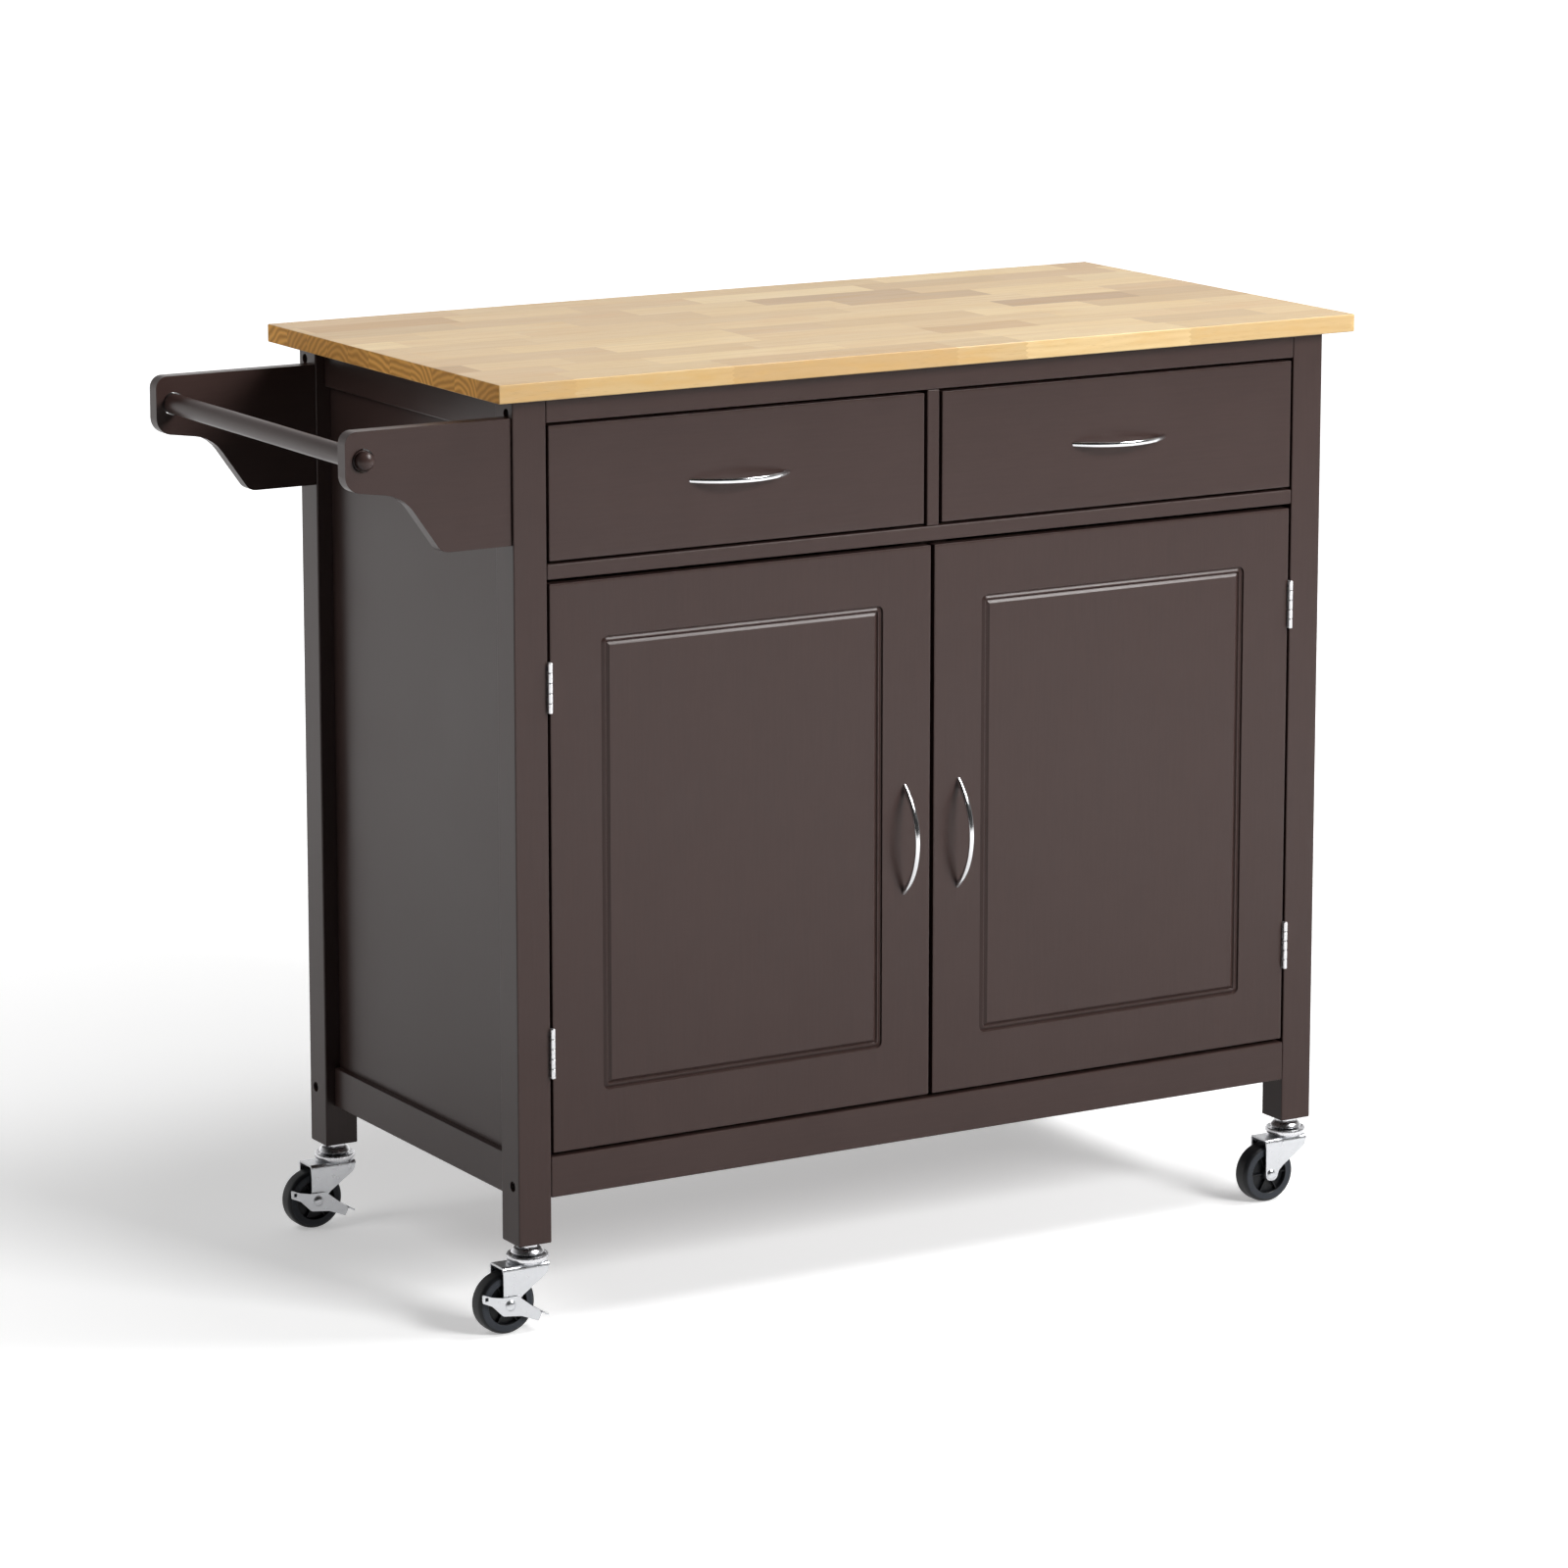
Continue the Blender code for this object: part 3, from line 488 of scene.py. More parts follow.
def plate(outline, near, far, ease=0.0, holes=(), segments=2):
    """A flat plate in the XZ plane from y = near to y = far, with holes and rounded edges."""
    bm = bmesh.new()
    edges = []
    for points in [outline, *holes]:
        verts = [bm.verts.new((x, near, z)) for x, z in points]
        edges += [bm.edges.new((verts[i - 1], verts[i])) for i in range(len(verts))]
    bmesh.ops.triangle_fill(bm, edges=edges, use_beauty=True)
    faces = list(bm.faces)
    if not holes:
        faces = bmesh.ops.dissolve_faces(bm, faces=faces)["region"]
    pushed = bmesh.ops.extrude_face_region(bm, geom=faces)
    verts = [item for item in pushed["geom"] if isinstance(item, bmesh.types.BMVert)]
    bmesh.ops.translate(bm, vec=(0, far - near, 0), verts=verts)
    bmesh.ops.recalc_face_normals(bm, faces=bm.faces)
    if ease:
        rim = [e for e in bm.edges if len(e.link_faces) == 2 and e.calc_face_angle() > 1.3
               and abs(e.verts[0].co.y - e.verts[1].co.y) < 1e-6]
        bmesh.ops.bevel(bm, geom=rim, offset=ease, segments=segments, profile=0.5, affect="EDGES",
                        clamp_overlap=True)
    return to_mesh(bm, "plate")


def circle(x, z, radius, count):
    angles = [math.tau * number / count for number in range(count)]
    return [(x + radius * math.cos(angle), z + radius * math.sin(angle)) for angle in angles]


def merged(*meshes):
    """Several closed shells in one mesh."""
    bm = bmesh.new()
    for mesh in meshes:
        bm.from_mesh(mesh)
    mesh = bpy.data.meshes.new("merged")
    bm.to_mesh(mesh)
    bm.free()
    return mesh


def copied(mesh, offset=(0, 0, 0), turn=None):
    """A copy of a mesh, turned about the origin and then shifted."""
    new = mesh.copy()
    matrix = Matrix.Translation(Vector(offset))
    new.transform(matrix @ turn if turn is not None else matrix)
    return new


print("Mesh helpers ready")

# %% [markdown]
# ## Paint the frame
#
# Posts, rails, panels and boards are already the right shape in the CAD model, so they only get
# their finish. Each takes the paint whose grain runs along its longest side.


# %% Give the CAD nodes their finishes
def longest_axis(name):
    low, high = size_of(name)
    sides = high - low
    return "xyz"[max(range(3), key=lambda index: sides[index])]


CAD_FINISHES = (("drawer_guide", drawer_wood), ("_box", drawer_wood), ("_bottom", drawer_wood),
                ("door_catch", plastic), ("caster_wheel", rubber), ("caster_", zinc),
                ("handle", chrome), ("leaf", chrome), ("worktop", block_wood))
for name, node_object in nodes.items():
    finish = next((material for word, material in CAD_FINISHES if word in name), None)
    finish = finish or paint[longest_axis(name)]
    for material_slot in node_object.material_slots:
        material_slot.material = finish
print("Finishes given to", len(nodes), "CAD nodes")

# %% [markdown]
# ## The top, stave by stave
#
# A butcher block follows a rule: rows of staves side by side, each row a run of pieces of random
# length joined end to end with cut fingers. That makes it a good job for Geometry Nodes. One blank
# stave is copied along every row, stretched between two random joints, and its ends are zigzagged
# so that the fingers show on the long edges of the top. Last, every point outside a core box is
# pulled in to a fixed radius, which rounds the outer edges of the whole slab at once.

# %% Measure the top
top_low, top_high = size_of("worktop")
TOP_SIZE = top_high - top_low
TOP_EASE = 0.0013
STAVE_ROWS = 11
STAVES_IN_ROW = 9
STAVE_LENGTH = 0.165
TEETH = 8
TOOTH_DEPTH = 0.0035
print("Top:", [round(side, 4) for side in TOP_SIZE])


# %% Make the blank stave
def stave_blank():
    """A box with loops near its edges. Each point knows its end, its side and how far in it is."""
    insets = [0, 0.3 * TOP_EASE, TOP_EASE]
    across = [(0, inset) for inset in insets] + [(1, inset) for inset in insets[::-1]]
    thick = TOP_SIZE.z
    heights = insets + [thick * number / TEETH for number in range(1, TEETH)]
    heights += [thick - inset for inset in insets[::-1]]
    bm = bmesh.new()
    layers = {key: bm.verts.layers.float.new(key) for key in ("end", "end_in", "side", "side_in")}
    verts = {}

    def corner(i, j, k):
        if (i, j, k) not in verts:
            vert = bm.verts.new((across[i][0], across[j][0], heights[k]))
            vert[layers["end"]], vert[layers["end_in"]] = across[i]
            vert[layers["side"]], vert[layers["side_in"]] = across[j]
            verts[i, j, k] = vert
        return verts[i, j, k]

    last = (len(across) - 1, len(across) - 1, len(heights) - 1)
    for axis in range(3):
        one, two = [other for other in range(3) if other != axis]
        for at in (0, last[axis]):
            for a in range(last[one]):
                for b in range(last[two]):
                    face = []
                    for da, db in ((0, 0), (1, 0), (1, 1), (0, 1)):
                        where = [0, 0, 0]
                        where[axis], where[one], where[two] = at, a + da, b + db
                        face.append(corner(*where))
                    outward = (at > 0) != (axis == 1)
                    bm.faces.new(face if outward else face[::-1])
    mesh = bpy.data.meshes.new("stave_blank")
    bm.to_mesh(mesh)
    bm.free()
    return mesh


blank = stave_blank()
print("Blank stave with", len(blank.vertices), "points")


# %% Build the tree that lays the staves
def new_tree(name, inputs):
    """A Geometry Nodes tree with its named inputs, its group input and its output."""
    tree = bpy.data.node_groups.new(name, "GeometryNodeTree")
    face = tree.interface
    face.new_socket("Geometry", in_out="INPUT", socket_type="NodeSocketGeometry")
    for label, kind in inputs:
        face.new_socket(label, in_out="INPUT", socket_type=f"NodeSocket{kind}")
    face.new_socket("Geometry", in_out="OUTPUT", socket_type="NodeSocketGeometry")
    return tree, tree.nodes.new("NodeGroupInput").outputs, tree.nodes.new("NodeGroupOutput")


def run_tree(tree, mesh, values):
    """Runs a tree on a mesh, its inputs set by identifier, and returns a plain mesh."""
    holder = bpy.data.objects.new("holder", mesh)
    bpy.context.scene.collection.objects.link(holder)
    modifier = holder.modifiers.new("nodes", "NODES")
    modifier.node_group = tree
    for item in tree.interface.items_tree:
        if item.in_out == "INPUT" and item.name in values:
            modifier[item.identifier] = values[item.name]
    bpy.context.view_layer.update()
    graph = bpy.context.evaluated_depsgraph_get()
    result = bpy.data.meshes.new_from_object(holder.evaluated_get(graph))
    holder.modifiers.clear()
    bpy.data.objects.remove(holder)
    return result


def random_number(tree, low, high, identity, seed):
    inputs = {2: low, 3: high, "ID": identity, "Seed": seed}
    return add(tree, "FunctionNodeRandomValue", inputs, data_type="FLOAT").outputs[1]


def store(tree, geometry, name, value, kind="FLOAT"):
    inputs = {"Geometry": geometry, "Name": name, "Value": value}
    settings = {"data_type": kind, "domain": "POINT"}
    return add(tree, "GeometryNodeStoreNamedAttribute", inputs, **settings).outputs[0]


def named(tree, name, kind="FLOAT"):
    return add(tree, "GeometryNodeInputNamedAttribute", {"Name": name}, data_type=kind).outputs[0]


def copies_on_points(tree, points, shape, rotation, material, out):
    """Ends a tree: a copy of a shape on every point, made real, in one material."""
    inputs = {"Points": points, "Instance": shape, "Rotation": rotation}
    made = add(tree, "GeometryNodeInstanceOnPoints", inputs).outputs[0]
    made = add(tree, "GeometryNodeRealizeInstances", {"Geometry": made}).outputs[0]
    made = add(tree, "GeometryNodeSetMaterial", {"Geometry": made, "Material": material})
    tree.links.new(made.outputs[0], out.inputs[0])


def stave_tree():
    """Copies the blank along the rows, then stretches each copy between its own two joints."""
    tree, given, out = new_tree("butcher_block_staves", [
        ("Rows", "Int"), ("Staves in Row", "Int"), ("Stave Length", "Float"), ("Size", "Vector"),
        ("Low Corner", "Vector"), ("Edge Radius", "Float"), ("Teeth", "Int"),
        ("Tooth Depth", "Float"), ("Seed", "Int"), ("Wood", "Material"),
    ])
    size = split(tree, given["Size"])
    seed = given["Seed"]
    count = maths(tree, "MULTIPLY", given["Rows"], given["Staves in Row"])
    points = add(tree, "GeometryNodePoints", {"Count": count}).outputs[0]
    index = add(tree, "GeometryNodeInputIndex").outputs[0]
    row = maths(tree, "FLOOR", maths(tree, "DIVIDE", index, given["Staves in Row"]))
    column = maths(tree, "MODULO", index, given["Staves in Row"])
    slide = random_number(tree, 0.0, 1.0, row, seed)

    def joint(offset):
        """Where a joint of the row comes, held between the two ends of the top."""
        step = maths(tree, "ADD", column, offset)
        identity = maths(tree, "MULTIPLY_ADD", row, 97, step)
        shift = maths(tree, "ADD", slide, random_number(tree, -0.3, 0.3, identity, seed))
        where = maths(tree, "MULTIPLY", maths(tree, "ADD", maths(tree, "SUBTRACT", step, 2), shift),
                      given["Stave Length"])
        return maths(tree, "MINIMUM", maths(tree, "MAXIMUM", where, 0), size[0])

    start, stop = joint(0), joint(1)
    length = maths(tree, "SUBTRACT", stop, start)
    breadth = maths(tree, "DIVIDE", size[1], given["Rows"])
    near = maths(tree, "MULTIPLY", row, breadth)
    far = maths(tree, "ADD", near, breadth)
    middle = join(tree, maths(tree, "MULTIPLY_ADD", length, 0.5, start),
                  maths(tree, "MULTIPLY_ADD", breadth, 0.5, near),
                  maths(tree, "MULTIPLY", size[2], 0.5))
    half = vector_maths(tree, "SCALE", join(tree, length, breadth, size[2]))
    half.node.inputs["Scale"].default_value = 0.5
    pith = join(tree, random_number(tree, -1.0, 1.0, index, 11),
                random_number(tree, -0.05, 0.05, index, 12),
                random_number(tree, -0.09, -0.02, index, 13))
    made = points
    for label, value, kind in (
        ("start", start, "FLOAT"), ("stop", stop, "FLOAT"), ("near", near, "FLOAT"),
        ("far", far, "FLOAT"), ("stave_half", half, "FLOAT_VECTOR"),
        ("stave_centre", vector_maths(tree, "ADD", middle, given["Low Corner"]), "FLOAT_VECTOR"),
        ("stave_pith", pith, "FLOAT_VECTOR"),
        ("stave_tone", random_number(tree, 0.0, 1.0, index, 14), "FLOAT"),
    ):
        made = store(tree, made, label, value, kind)
    empty = add(tree, "FunctionNodeCompare", {0: maths(tree, "SUBTRACT", named(tree, "stop"),
                named(tree, "start")), 1: 0.0005}, operation="LESS_THAN").outputs[0]
    inputs = {"Geometry": made, "Selection": empty}
    made = add(tree, "GeometryNodeDeleteGeometry", inputs).outputs[0]
    inputs = {"Points": made, "Instance": given["Geometry"]}
    made = add(tree, "GeometryNodeInstanceOnPoints", inputs).outputs[0]
    made = add(tree, "GeometryNodeRealizeInstances", {"Geometry": made}).outputs[0]

    place = split(tree, add(tree, "GeometryNodeInputPosition").outputs[0])
    tall = maths(tree, "DIVIDE", size[2], given["Teeth"])
    tooth = maths(tree, "DIVIDE", maths(tree, "PINGPONG", place[2], tall), tall)
    tooth = maths(tree, "MULTIPLY", tooth, given["Tooth Depth"])

    def between(low, high, end, inset):
        flip = maths(tree, "MULTIPLY_ADD", end, -2, 1)
        along = maths(tree, "MULTIPLY_ADD", maths(tree, "SUBTRACT", high, low), end, low)
        return maths(tree, "MULTIPLY_ADD", inset, flip, along)

    def with_teeth(value):
        inside = maths(tree, "MULTIPLY", maths(tree, "GREATER_THAN", value, 0.0001),
                       maths(tree, "LESS_THAN", value, maths(tree, "SUBTRACT", size[0], 0.0001)))
        return maths(tree, "MULTIPLY_ADD", inside, tooth, value)

    x = between(with_teeth(named(tree, "start")), with_teeth(named(tree, "stop")),
                named(tree, "end"), named(tree, "end_in"))
    y = between(named(tree, "near"), named(tree, "far"),
                named(tree, "side"), named(tree, "side_in"))
    point = join(tree, x, y, place[2])
    radius = join(tree, given["Edge Radius"], given["Edge Radius"], given["Edge Radius"])
    core = vector_maths(tree, "MINIMUM", vector_maths(tree, "MAXIMUM", point, radius),
                        vector_maths(tree, "SUBTRACT", given["Size"], radius))
    away = vector_maths(tree, "SUBTRACT", point, core)
    reach = maths(tree, "MAXIMUM", vector_maths(tree, "LENGTH", away, out="Value"), 0.000001)
    pull = maths(tree, "MINIMUM", maths(tree, "DIVIDE", given["Edge Radius"], reach), 1)
    inputs = {0: away, "Scale": pull}
    eased = add(tree, "ShaderNodeVectorMath", inputs, operation="SCALE").outputs[0]
    point = vector_maths(tree, "ADD", vector_maths(tree, "ADD", core, eased), given["Low Corner"])
    made = add(tree, "GeometryNodeSetPosition", {"Geometry": made, "Position": point}).outputs[0]
    made = add(tree, "GeometryNodeSetMaterial", {"Geometry": made, "Material": given["Wood"]})
    tree.links.new(made.outputs[0], out.inputs[0])
    return tree


staves = run_tree(stave_tree(), blank, {
    "Rows": STAVE_ROWS, "Staves in Row": STAVES_IN_ROW, "Stave Length": STAVE_LENGTH,
    "Size": TOP_SIZE, "Low Corner": top_low + CORNER, "Edge Radius": TOP_EASE, "Teeth": TEETH,
    "Tooth Depth": TOOTH_DEPTH, "Seed": 7, "Wood": block_wood,
})
staves.transform(Matrix.Translation(-CORNER))
finish_piece("butcher_block_top", staves, None, "cabinet", ["worktop"], 50)
print("Top made of", len(staves.vertices) // len(blank.vertices), "staves")

# %% [markdown]
# ## Doors and drawer fronts
#
# Both are flat slabs with slightly eased edges. The doors have a rectangle routed into them with a
# beaded cutter: two valleys with a small ridge between. Each valley drops steeply on its outer side
# and rises gently on its inner side, so the long slopes at the top of a door catch the light. A
# routed line keeps its section all the way round, so the slab is drawn as nested rectangles, each
# at its own inset and depth.


# %% Draw a slab with a routed line
def nested(low, high, inset, depth, radius, steps=5):
    """One rectangle of the slab, its corners rounded, facing the front."""
    corners = []
    for x, z, start in ((high.x - inset, high.z - inset, 0), (low.x + inset, high.z - inset, 90),
                        (low.x + inset, low.z + inset, 180), (high.x - inset, low.z + inset, 270)):
        middle = (x - radius * (1 if start in (0, 270) else -1),
                  z - radius * (1 if start in (0, 90) else -1))
        arc = arc_points(middle, radius, start, start + 90, steps)
        corners += [(u, low.y + depth, v) for u, v in arc]
    return corners


def slab(low, high, routed=()):
    """A slab as rectangles from its back to its front. Each is (inset, depth, corner radius)."""
    thick = high.y - low.y
    rings = [(EASE, thick, 0.0006), (0.3 * EASE, thick - 0.3 * EASE, 0.0009),
             (0, thick - EASE, 0.0012), (0, EASE, 0.0012),
             (0.3 * EASE, 0.3 * EASE, 0.0009), (EASE, 0, 0.0006), (2 * EASE, 0, 0.0006), *routed]
    return to_mesh(skin([nested(low, high, *ring) for ring in rings]), "slab")


ROUT_INSET = 0.0544
ROUT_SECTION = [
    (-0.0006, 0.0000), (0.0000, 0.0001), (0.0002, 0.0013), (0.0007, 0.0022), (0.0014, 0.0024),
    (0.0021, 0.0021), (0.0029, 0.0016), (0.0037, 0.0011), (0.0044, 0.0007), (0.0051, 0.0007),
    (0.0056, 0.0015), (0.0062, 0.0022), (0.0069, 0.0019), (0.0078, 0.0013), (0.0087, 0.0006),
    (0.0093, 0.0000), (0.0100, 0.0000),
]
ROUTED = [(ROUT_INSET + across, deep, max(0.0062 - across * 0.75, 0.0004))
          for across, deep in ROUT_SECTION]
for side in ("left", "right"):
    low, high = size_of(f"door_{side}_panel")
    finish_piece(f"door_panel_{side}", slab(low, high, ROUTED), paint["z"],
                 f"door_{side}", [f"door_{side}_panel"], 30)
    low, high = size_of(f"drawer_{side}_front")
    finish_piece(f"drawer_front_{side}", slab(low, high), paint["x"],
                 f"drawer_{side}", [f"drawer_{side}_front"], 30)
print("Two doors and two drawer fronts made")

# %% [markdown]
# ## Bow handles
#
# Each handle is a chromed bow cast in zinc: thin in the middle, deeper towards its feet. Its
# section is swept between two arcs, an outer one and a shorter inner one, so it thickens at the
# feet by itself. The section is a rounded oblong, which gives the bright line along the bow.

# %% Sweep the handle
HANDLE_LENGTH = 0.1105
HANDLE_REACH = 0.0255
HANDLE_STRAP = 0.0035
HANDLE_FOOT = 0.0070
HANDLE_WIDTH = 0.005


def bow(length, reach, count):
    """Points on an arc of a given chord that stands out in front of the slab."""
    radius = (length**2 / 4 + reach**2) / (2 * reach)
    half = math.asin(length / 2 / radius)
    angles = [half * (2 * number / count - 1) for number in range(count + 1)]
    return [Vector((radius * math.sin(angle), radius - reach - radius * math.cos(angle), 0))
            for angle in angles]


def handle_mesh(count=40, sides=14):
    """The bow as loops of a rounded oblong, strung between the outer and the inner arc."""
    outer = bow(HANDLE_LENGTH, HANDLE_REACH, count)
    inner = bow(HANDLE_LENGTH - 2 * HANDLE_FOOT, HANDLE_REACH - HANDLE_STRAP, count)
    loops = []
    for far, near in zip(outer, inner):
        loop = []
        for number in range(sides):
            angle = math.tau * number / sides
            u = math.copysign(abs(math.cos(angle)) ** 0.7, math.cos(angle))
            v = math.copysign(abs(math.sin(angle)) ** 0.7, math.sin(angle))
            across = Vector((0, 0, HANDLE_WIDTH / 2 * v))
            loop.append((far + near) / 2 + (far - near) / 2 * u + across)
        loops.append(loop)
    return to_mesh(skin(loops), "handle")


bow_handle = handle_mesh()
for side in ("left", "right"):
    for part, turn in (("drawer", None), ("door", Matrix.Rotation(math.pi / 2, 4, "Y"))):
        low, high = size_of(f"{part}_{side}_handle")
        middle = ((low.x + high.x) / 2, high.y, (low.z + high.z) / 2)
        finish_piece(f"{part}_bow_handle_{side}", copied(bow_handle, middle, turn), chrome,
                     f"{part}_{side}", [f"{part}_{side}_handle"], 40)
print("Four bow handles made")

# %% [markdown]
# ## Copies on points
#
# Bolts, pins, rivet heads and hinge knuckles are all one shape set down many times. A single tree
# does them all: it stands a copy of a given shape on every point of a mesh, with its axis turned to
# the direction stored on that point.


# %% Build the tree that sets a shape on points
def fitting_tree():
    """A copy of the object named Fitting on every point, turned to the point's own direction."""
    inputs = [("Fitting", "Object"), ("Metal", "Material")]
    tree, given, out = new_tree("fittings_on_points", inputs)
    shape = add(tree, "GeometryNodeObjectInfo", {"Object": given["Fitting"]}).outputs["Geometry"]
    facing = {"Vector": named(tree, "facing", "FLOAT_VECTOR")}
    turn = add(tree, "FunctionNodeAlignRotationToVector", facing, axis="Z").outputs[0]
    copies_on_points(tree, given["Geometry"], shape, turn, given["Metal"], out)
    return tree


FITTING_TREE = fitting_tree()


def fitted(shape, places, metal):
    """Copies of a shape, one at each (point, direction)."""
    points = bpy.data.meshes.new("points")
    points.from_pydata([tuple(point) for point, _ in places], [], [])
    facing = points.attributes.new("facing", "FLOAT_VECTOR", "POINT")
    for index, (_, direction) in enumerate(places):
        facing.data[index].vector = direction
    model = bpy.data.objects.new("model", shape)
    bpy.context.scene.collection.objects.link(model)
    mesh = run_tree(FITTING_TREE, points, {"Fitting": model, "Metal": metal})
    bpy.data.objects.remove(model)
    return mesh


print("Fitting tree ready")

# %% [markdown]
# ## Hinges
#
# A butt hinge is two thin leaves rolled round a pin. The knuckles alternate: three belong to the
# leaf on the post and two to the leaf on the door. Only the barrel shows while the door is shut,
# with small rounded tips where the pin's heads close its ends.

# %% Make knuckles and leaves
HINGE_LENGTH = 0.0485
KNUCKLES = 5
KNUCKLE = HINGE_LENGTH / KNUCKLES
BARREL = 0.0024
AXIS_OFF_DOOR = 0.00125
LEAF_NEAR, LEAF_FAR = 0.0031, 0.0163
LEAF_GAP, LEAF_THICK = 0.00016, 0.0008
knuckle = turned([(0.0, -KNUCKLE / 2 + 0.0002), (BARREL - 0.0003, -KNUCKLE / 2 + 0.0002),
                  (BARREL, -KNUCKLE / 2 + 0.0005), (BARREL, KNUCKLE / 2 - 0.0005),
                  (BARREL - 0.0003, KNUCKLE / 2 - 0.0002), (0.0, KNUCKLE / 2 - 0.0002)], 24)
tip = turned([(0.0, -0.0006), (0.0019, -0.0006), (0.0021, 0.0), (0.0017, 0.0008), (0.0009, 0.0013),
              (0.0, 0.0015)], 20)


def leaf_plate(side):
    """The flat of a leaf beside the axis, side -1 for the post's and 1 for the door's."""
    inner = LEAF_GAP * side
    low, high = sorted((inner, inner + LEAF_THICK * side))
    outline = [(low, -HINGE_LENGTH / 2), (high, -HINGE_LENGTH / 2), (high, HINGE_LENGTH / 2),
               (low, HINGE_LENGTH / 2)]
    return plate(outline, LEAF_NEAR, LEAF_FAR, 0.0001)


UP = Vector((0, 0, 1))
for side, sign in (("left", 1), ("right", -1)):
    for part, first, body in (("frame", 0, "cabinet"), ("door", 1, f"door_{side}")):
        shells, replaced = [], []
        for level in ("upper", "lower"):
            node = f"door_{side}_hinge_{level}_{part}_leaf"
            low, high = size_of(node)
            edge_x = size_of(f"door_{side}_panel")[0 if side == "left" else 1].x
            bottom, top = size_of(f"door_{side}_hinge_{level}_frame_leaf")
            middle_z = (bottom.z + top.z) / 2
            centre = Vector((edge_x - sign * AXIS_OFF_DOOR, low.y + BARREL, middle_z))
            heights = [-HINGE_LENGTH / 2 + KNUCKLE * (i + 0.5) for i in range(first, KNUCKLES, 2)]
            places = [(centre + UP * height, UP) for height in heights]
            shells.append(fitted(knuckle, places, chrome))
            if part == "frame":
                ends = [(centre + UP * HINGE_LENGTH / 2 * s, UP * s) for s in (-1, 1)]
                shells.append(fitted(tip, [(p - d * 0.0010, d) for p, d in ends], chrome))
            towards = (-1 if part == "frame" else 1) * sign
            shells.append(copied(leaf_plate(towards), centre))
            replaced.append(node)
        finish_piece(f"hinge_{part}_half_{side}", merged(*shells), satin_chrome, body,
                     replaced, 40)
print("Four hinges made, each in two halves")

# %% [markdown]
# ## Towel rail
#
# Two shaped boards carry a turned rod that passes through a bored hole in each and ends in a low
# dome. The shape follows the CAD outline, with a small round worked along every edge, because that
# thin highlight is what shows the thickness of the board.

# %% Make the brackets and the rod
front_low, front_high = size_of("towel_bracket_front")
back_low, back_high = size_of("towel_bracket_back")
rail_low, rail_high = size_of("towel_bar")
rail = (rail_low + rail_high) / 2
join_x = front_high.x
BRACKET_SHAPE = rounded([
    (join_x, front_high.z, 0.0), (front_low.x, front_high.z, 0.012), (front_low.x, 0.8263, 0.017),
    (-0.1126, 0.8181, 0.042), (-0.0726, front_low.z, 0.013), (join_x, front_low.z, 0.0),
])
BORE_RADIUS = 0.0112
for end, low, high in (("front", front_low, front_high), ("back", back_low, back_high)):
    bore = circle(rail.x, rail.z, BORE_RADIUS, 32)
    board = plate(BRACKET_SHAPE, low.y, high.y, 0.0009, [bore], 3)
    finish_piece(f"bracket_{end}", board, paint["x"], "cabinet",
                 [f"towel_bracket_{end}"], 40)
ROD_RADIUS = 0.0099
KNOB_RADIUS = 0.0089
DOME_HEIGHT = 0.0070
DOME_FROM_END = 0.0025
dome = [(ROD_RADIUS, -0.0062), (ROD_RADIUS - 0.0004, -0.0055),
        (KNOB_RADIUS, -0.0053), (KNOB_RADIUS, -0.0010)]
angles = [math.radians(degrees) for degrees in range(0, 91, 10)]
dome += [(KNOB_RADIUS * math.cos(angle), DOME_HEIGHT * math.sin(angle)) for angle in angles]
start, stop = rail_low.y + DOME_FROM_END, rail_high.y - DOME_FROM_END
profile = [(r, start - h) for r, h in dome[::-1]] + [(r, stop + h) for r, h in dome]
rod = copied(turned([(max(r, 0.0), h) for r, h in profile], 48, "Y"), (rail.x, 0, rail.z))
finish_piece("towel_rod", rod, paint["y"], "cabinet", ["towel_bar"], 40)
print("Towel rail made,", round(rail_high.y - rail_low.y, 3), "m long")

# %% [markdown]
# ## Casters
#
# A caster is mostly pressed and plated steel. From the top down: a threaded stem with a hexagonal
# nut, a dished upper race that stays still, a rolled lower race that turns with the fork, a fork
# folded from one blank, and a wheel on a riveted axle. The two casters at the towel rail end also
# carry a brake lever, a leaf-shaped pressing that pivots on the same axle.
# Each is drawn round its own swivel axis with z = 0 on the floor, then copied to its corner.

# %% Sizes shared by the parts of a caster
AXLE = Vector((-0.0265, 0, 0.030))
FORK_HALF = 0.014
FORK_WALL = 0.002
FORK_TOP = 0.067
CASTERS = [(f"{end}_{side}", Vector((x, y, 0)), side == "left")
           for side, x in (("left", POST / 2), ("right", WIDTH - POST / 2))
           for end, y in (("front", POST / 2), ("back", DEPTH - POST / 2))]
print("Casters at", [name for name, _, _ in CASTERS])

# %% Turn the stem, its nut and the upper race
stem_core = turned([
    (0.0, 0.0622), (0.0052, 0.0622), (0.0060, 0.0628), (0.0060, 0.0645), (0.0040, 0.0646),
    (0.0040, 0.0755), (0.0125, 0.0754), (0.0152, 0.0756), (0.0160, 0.0763), (0.0158, 0.0772),
    (0.0148, 0.0786), (0.0138, 0.0800), (0.0128, 0.0810), (0.0110, 0.0815), (0.0047, 0.0815),
    (0.0047, 0.1155), (0.0, 0.1155),
], 48)
nut_outline = [(0.0113 * math.cos(math.radians(a)), 0.0113 * math.sin(math.radians(a)))
               for a in range(0, 360, 60)]
nut = plate(nut_outline, 0.0816, 0.0856, 0.0006)
nut.transform(Matrix(((1, 0, 0, 0), (0, 0, 1, 0), (0, 1, 0, 0), (0, 0, 0, 1))))
nut.flip_normals()
stem = merged(stem_core, nut)
print("Stem, nut and upper race made")


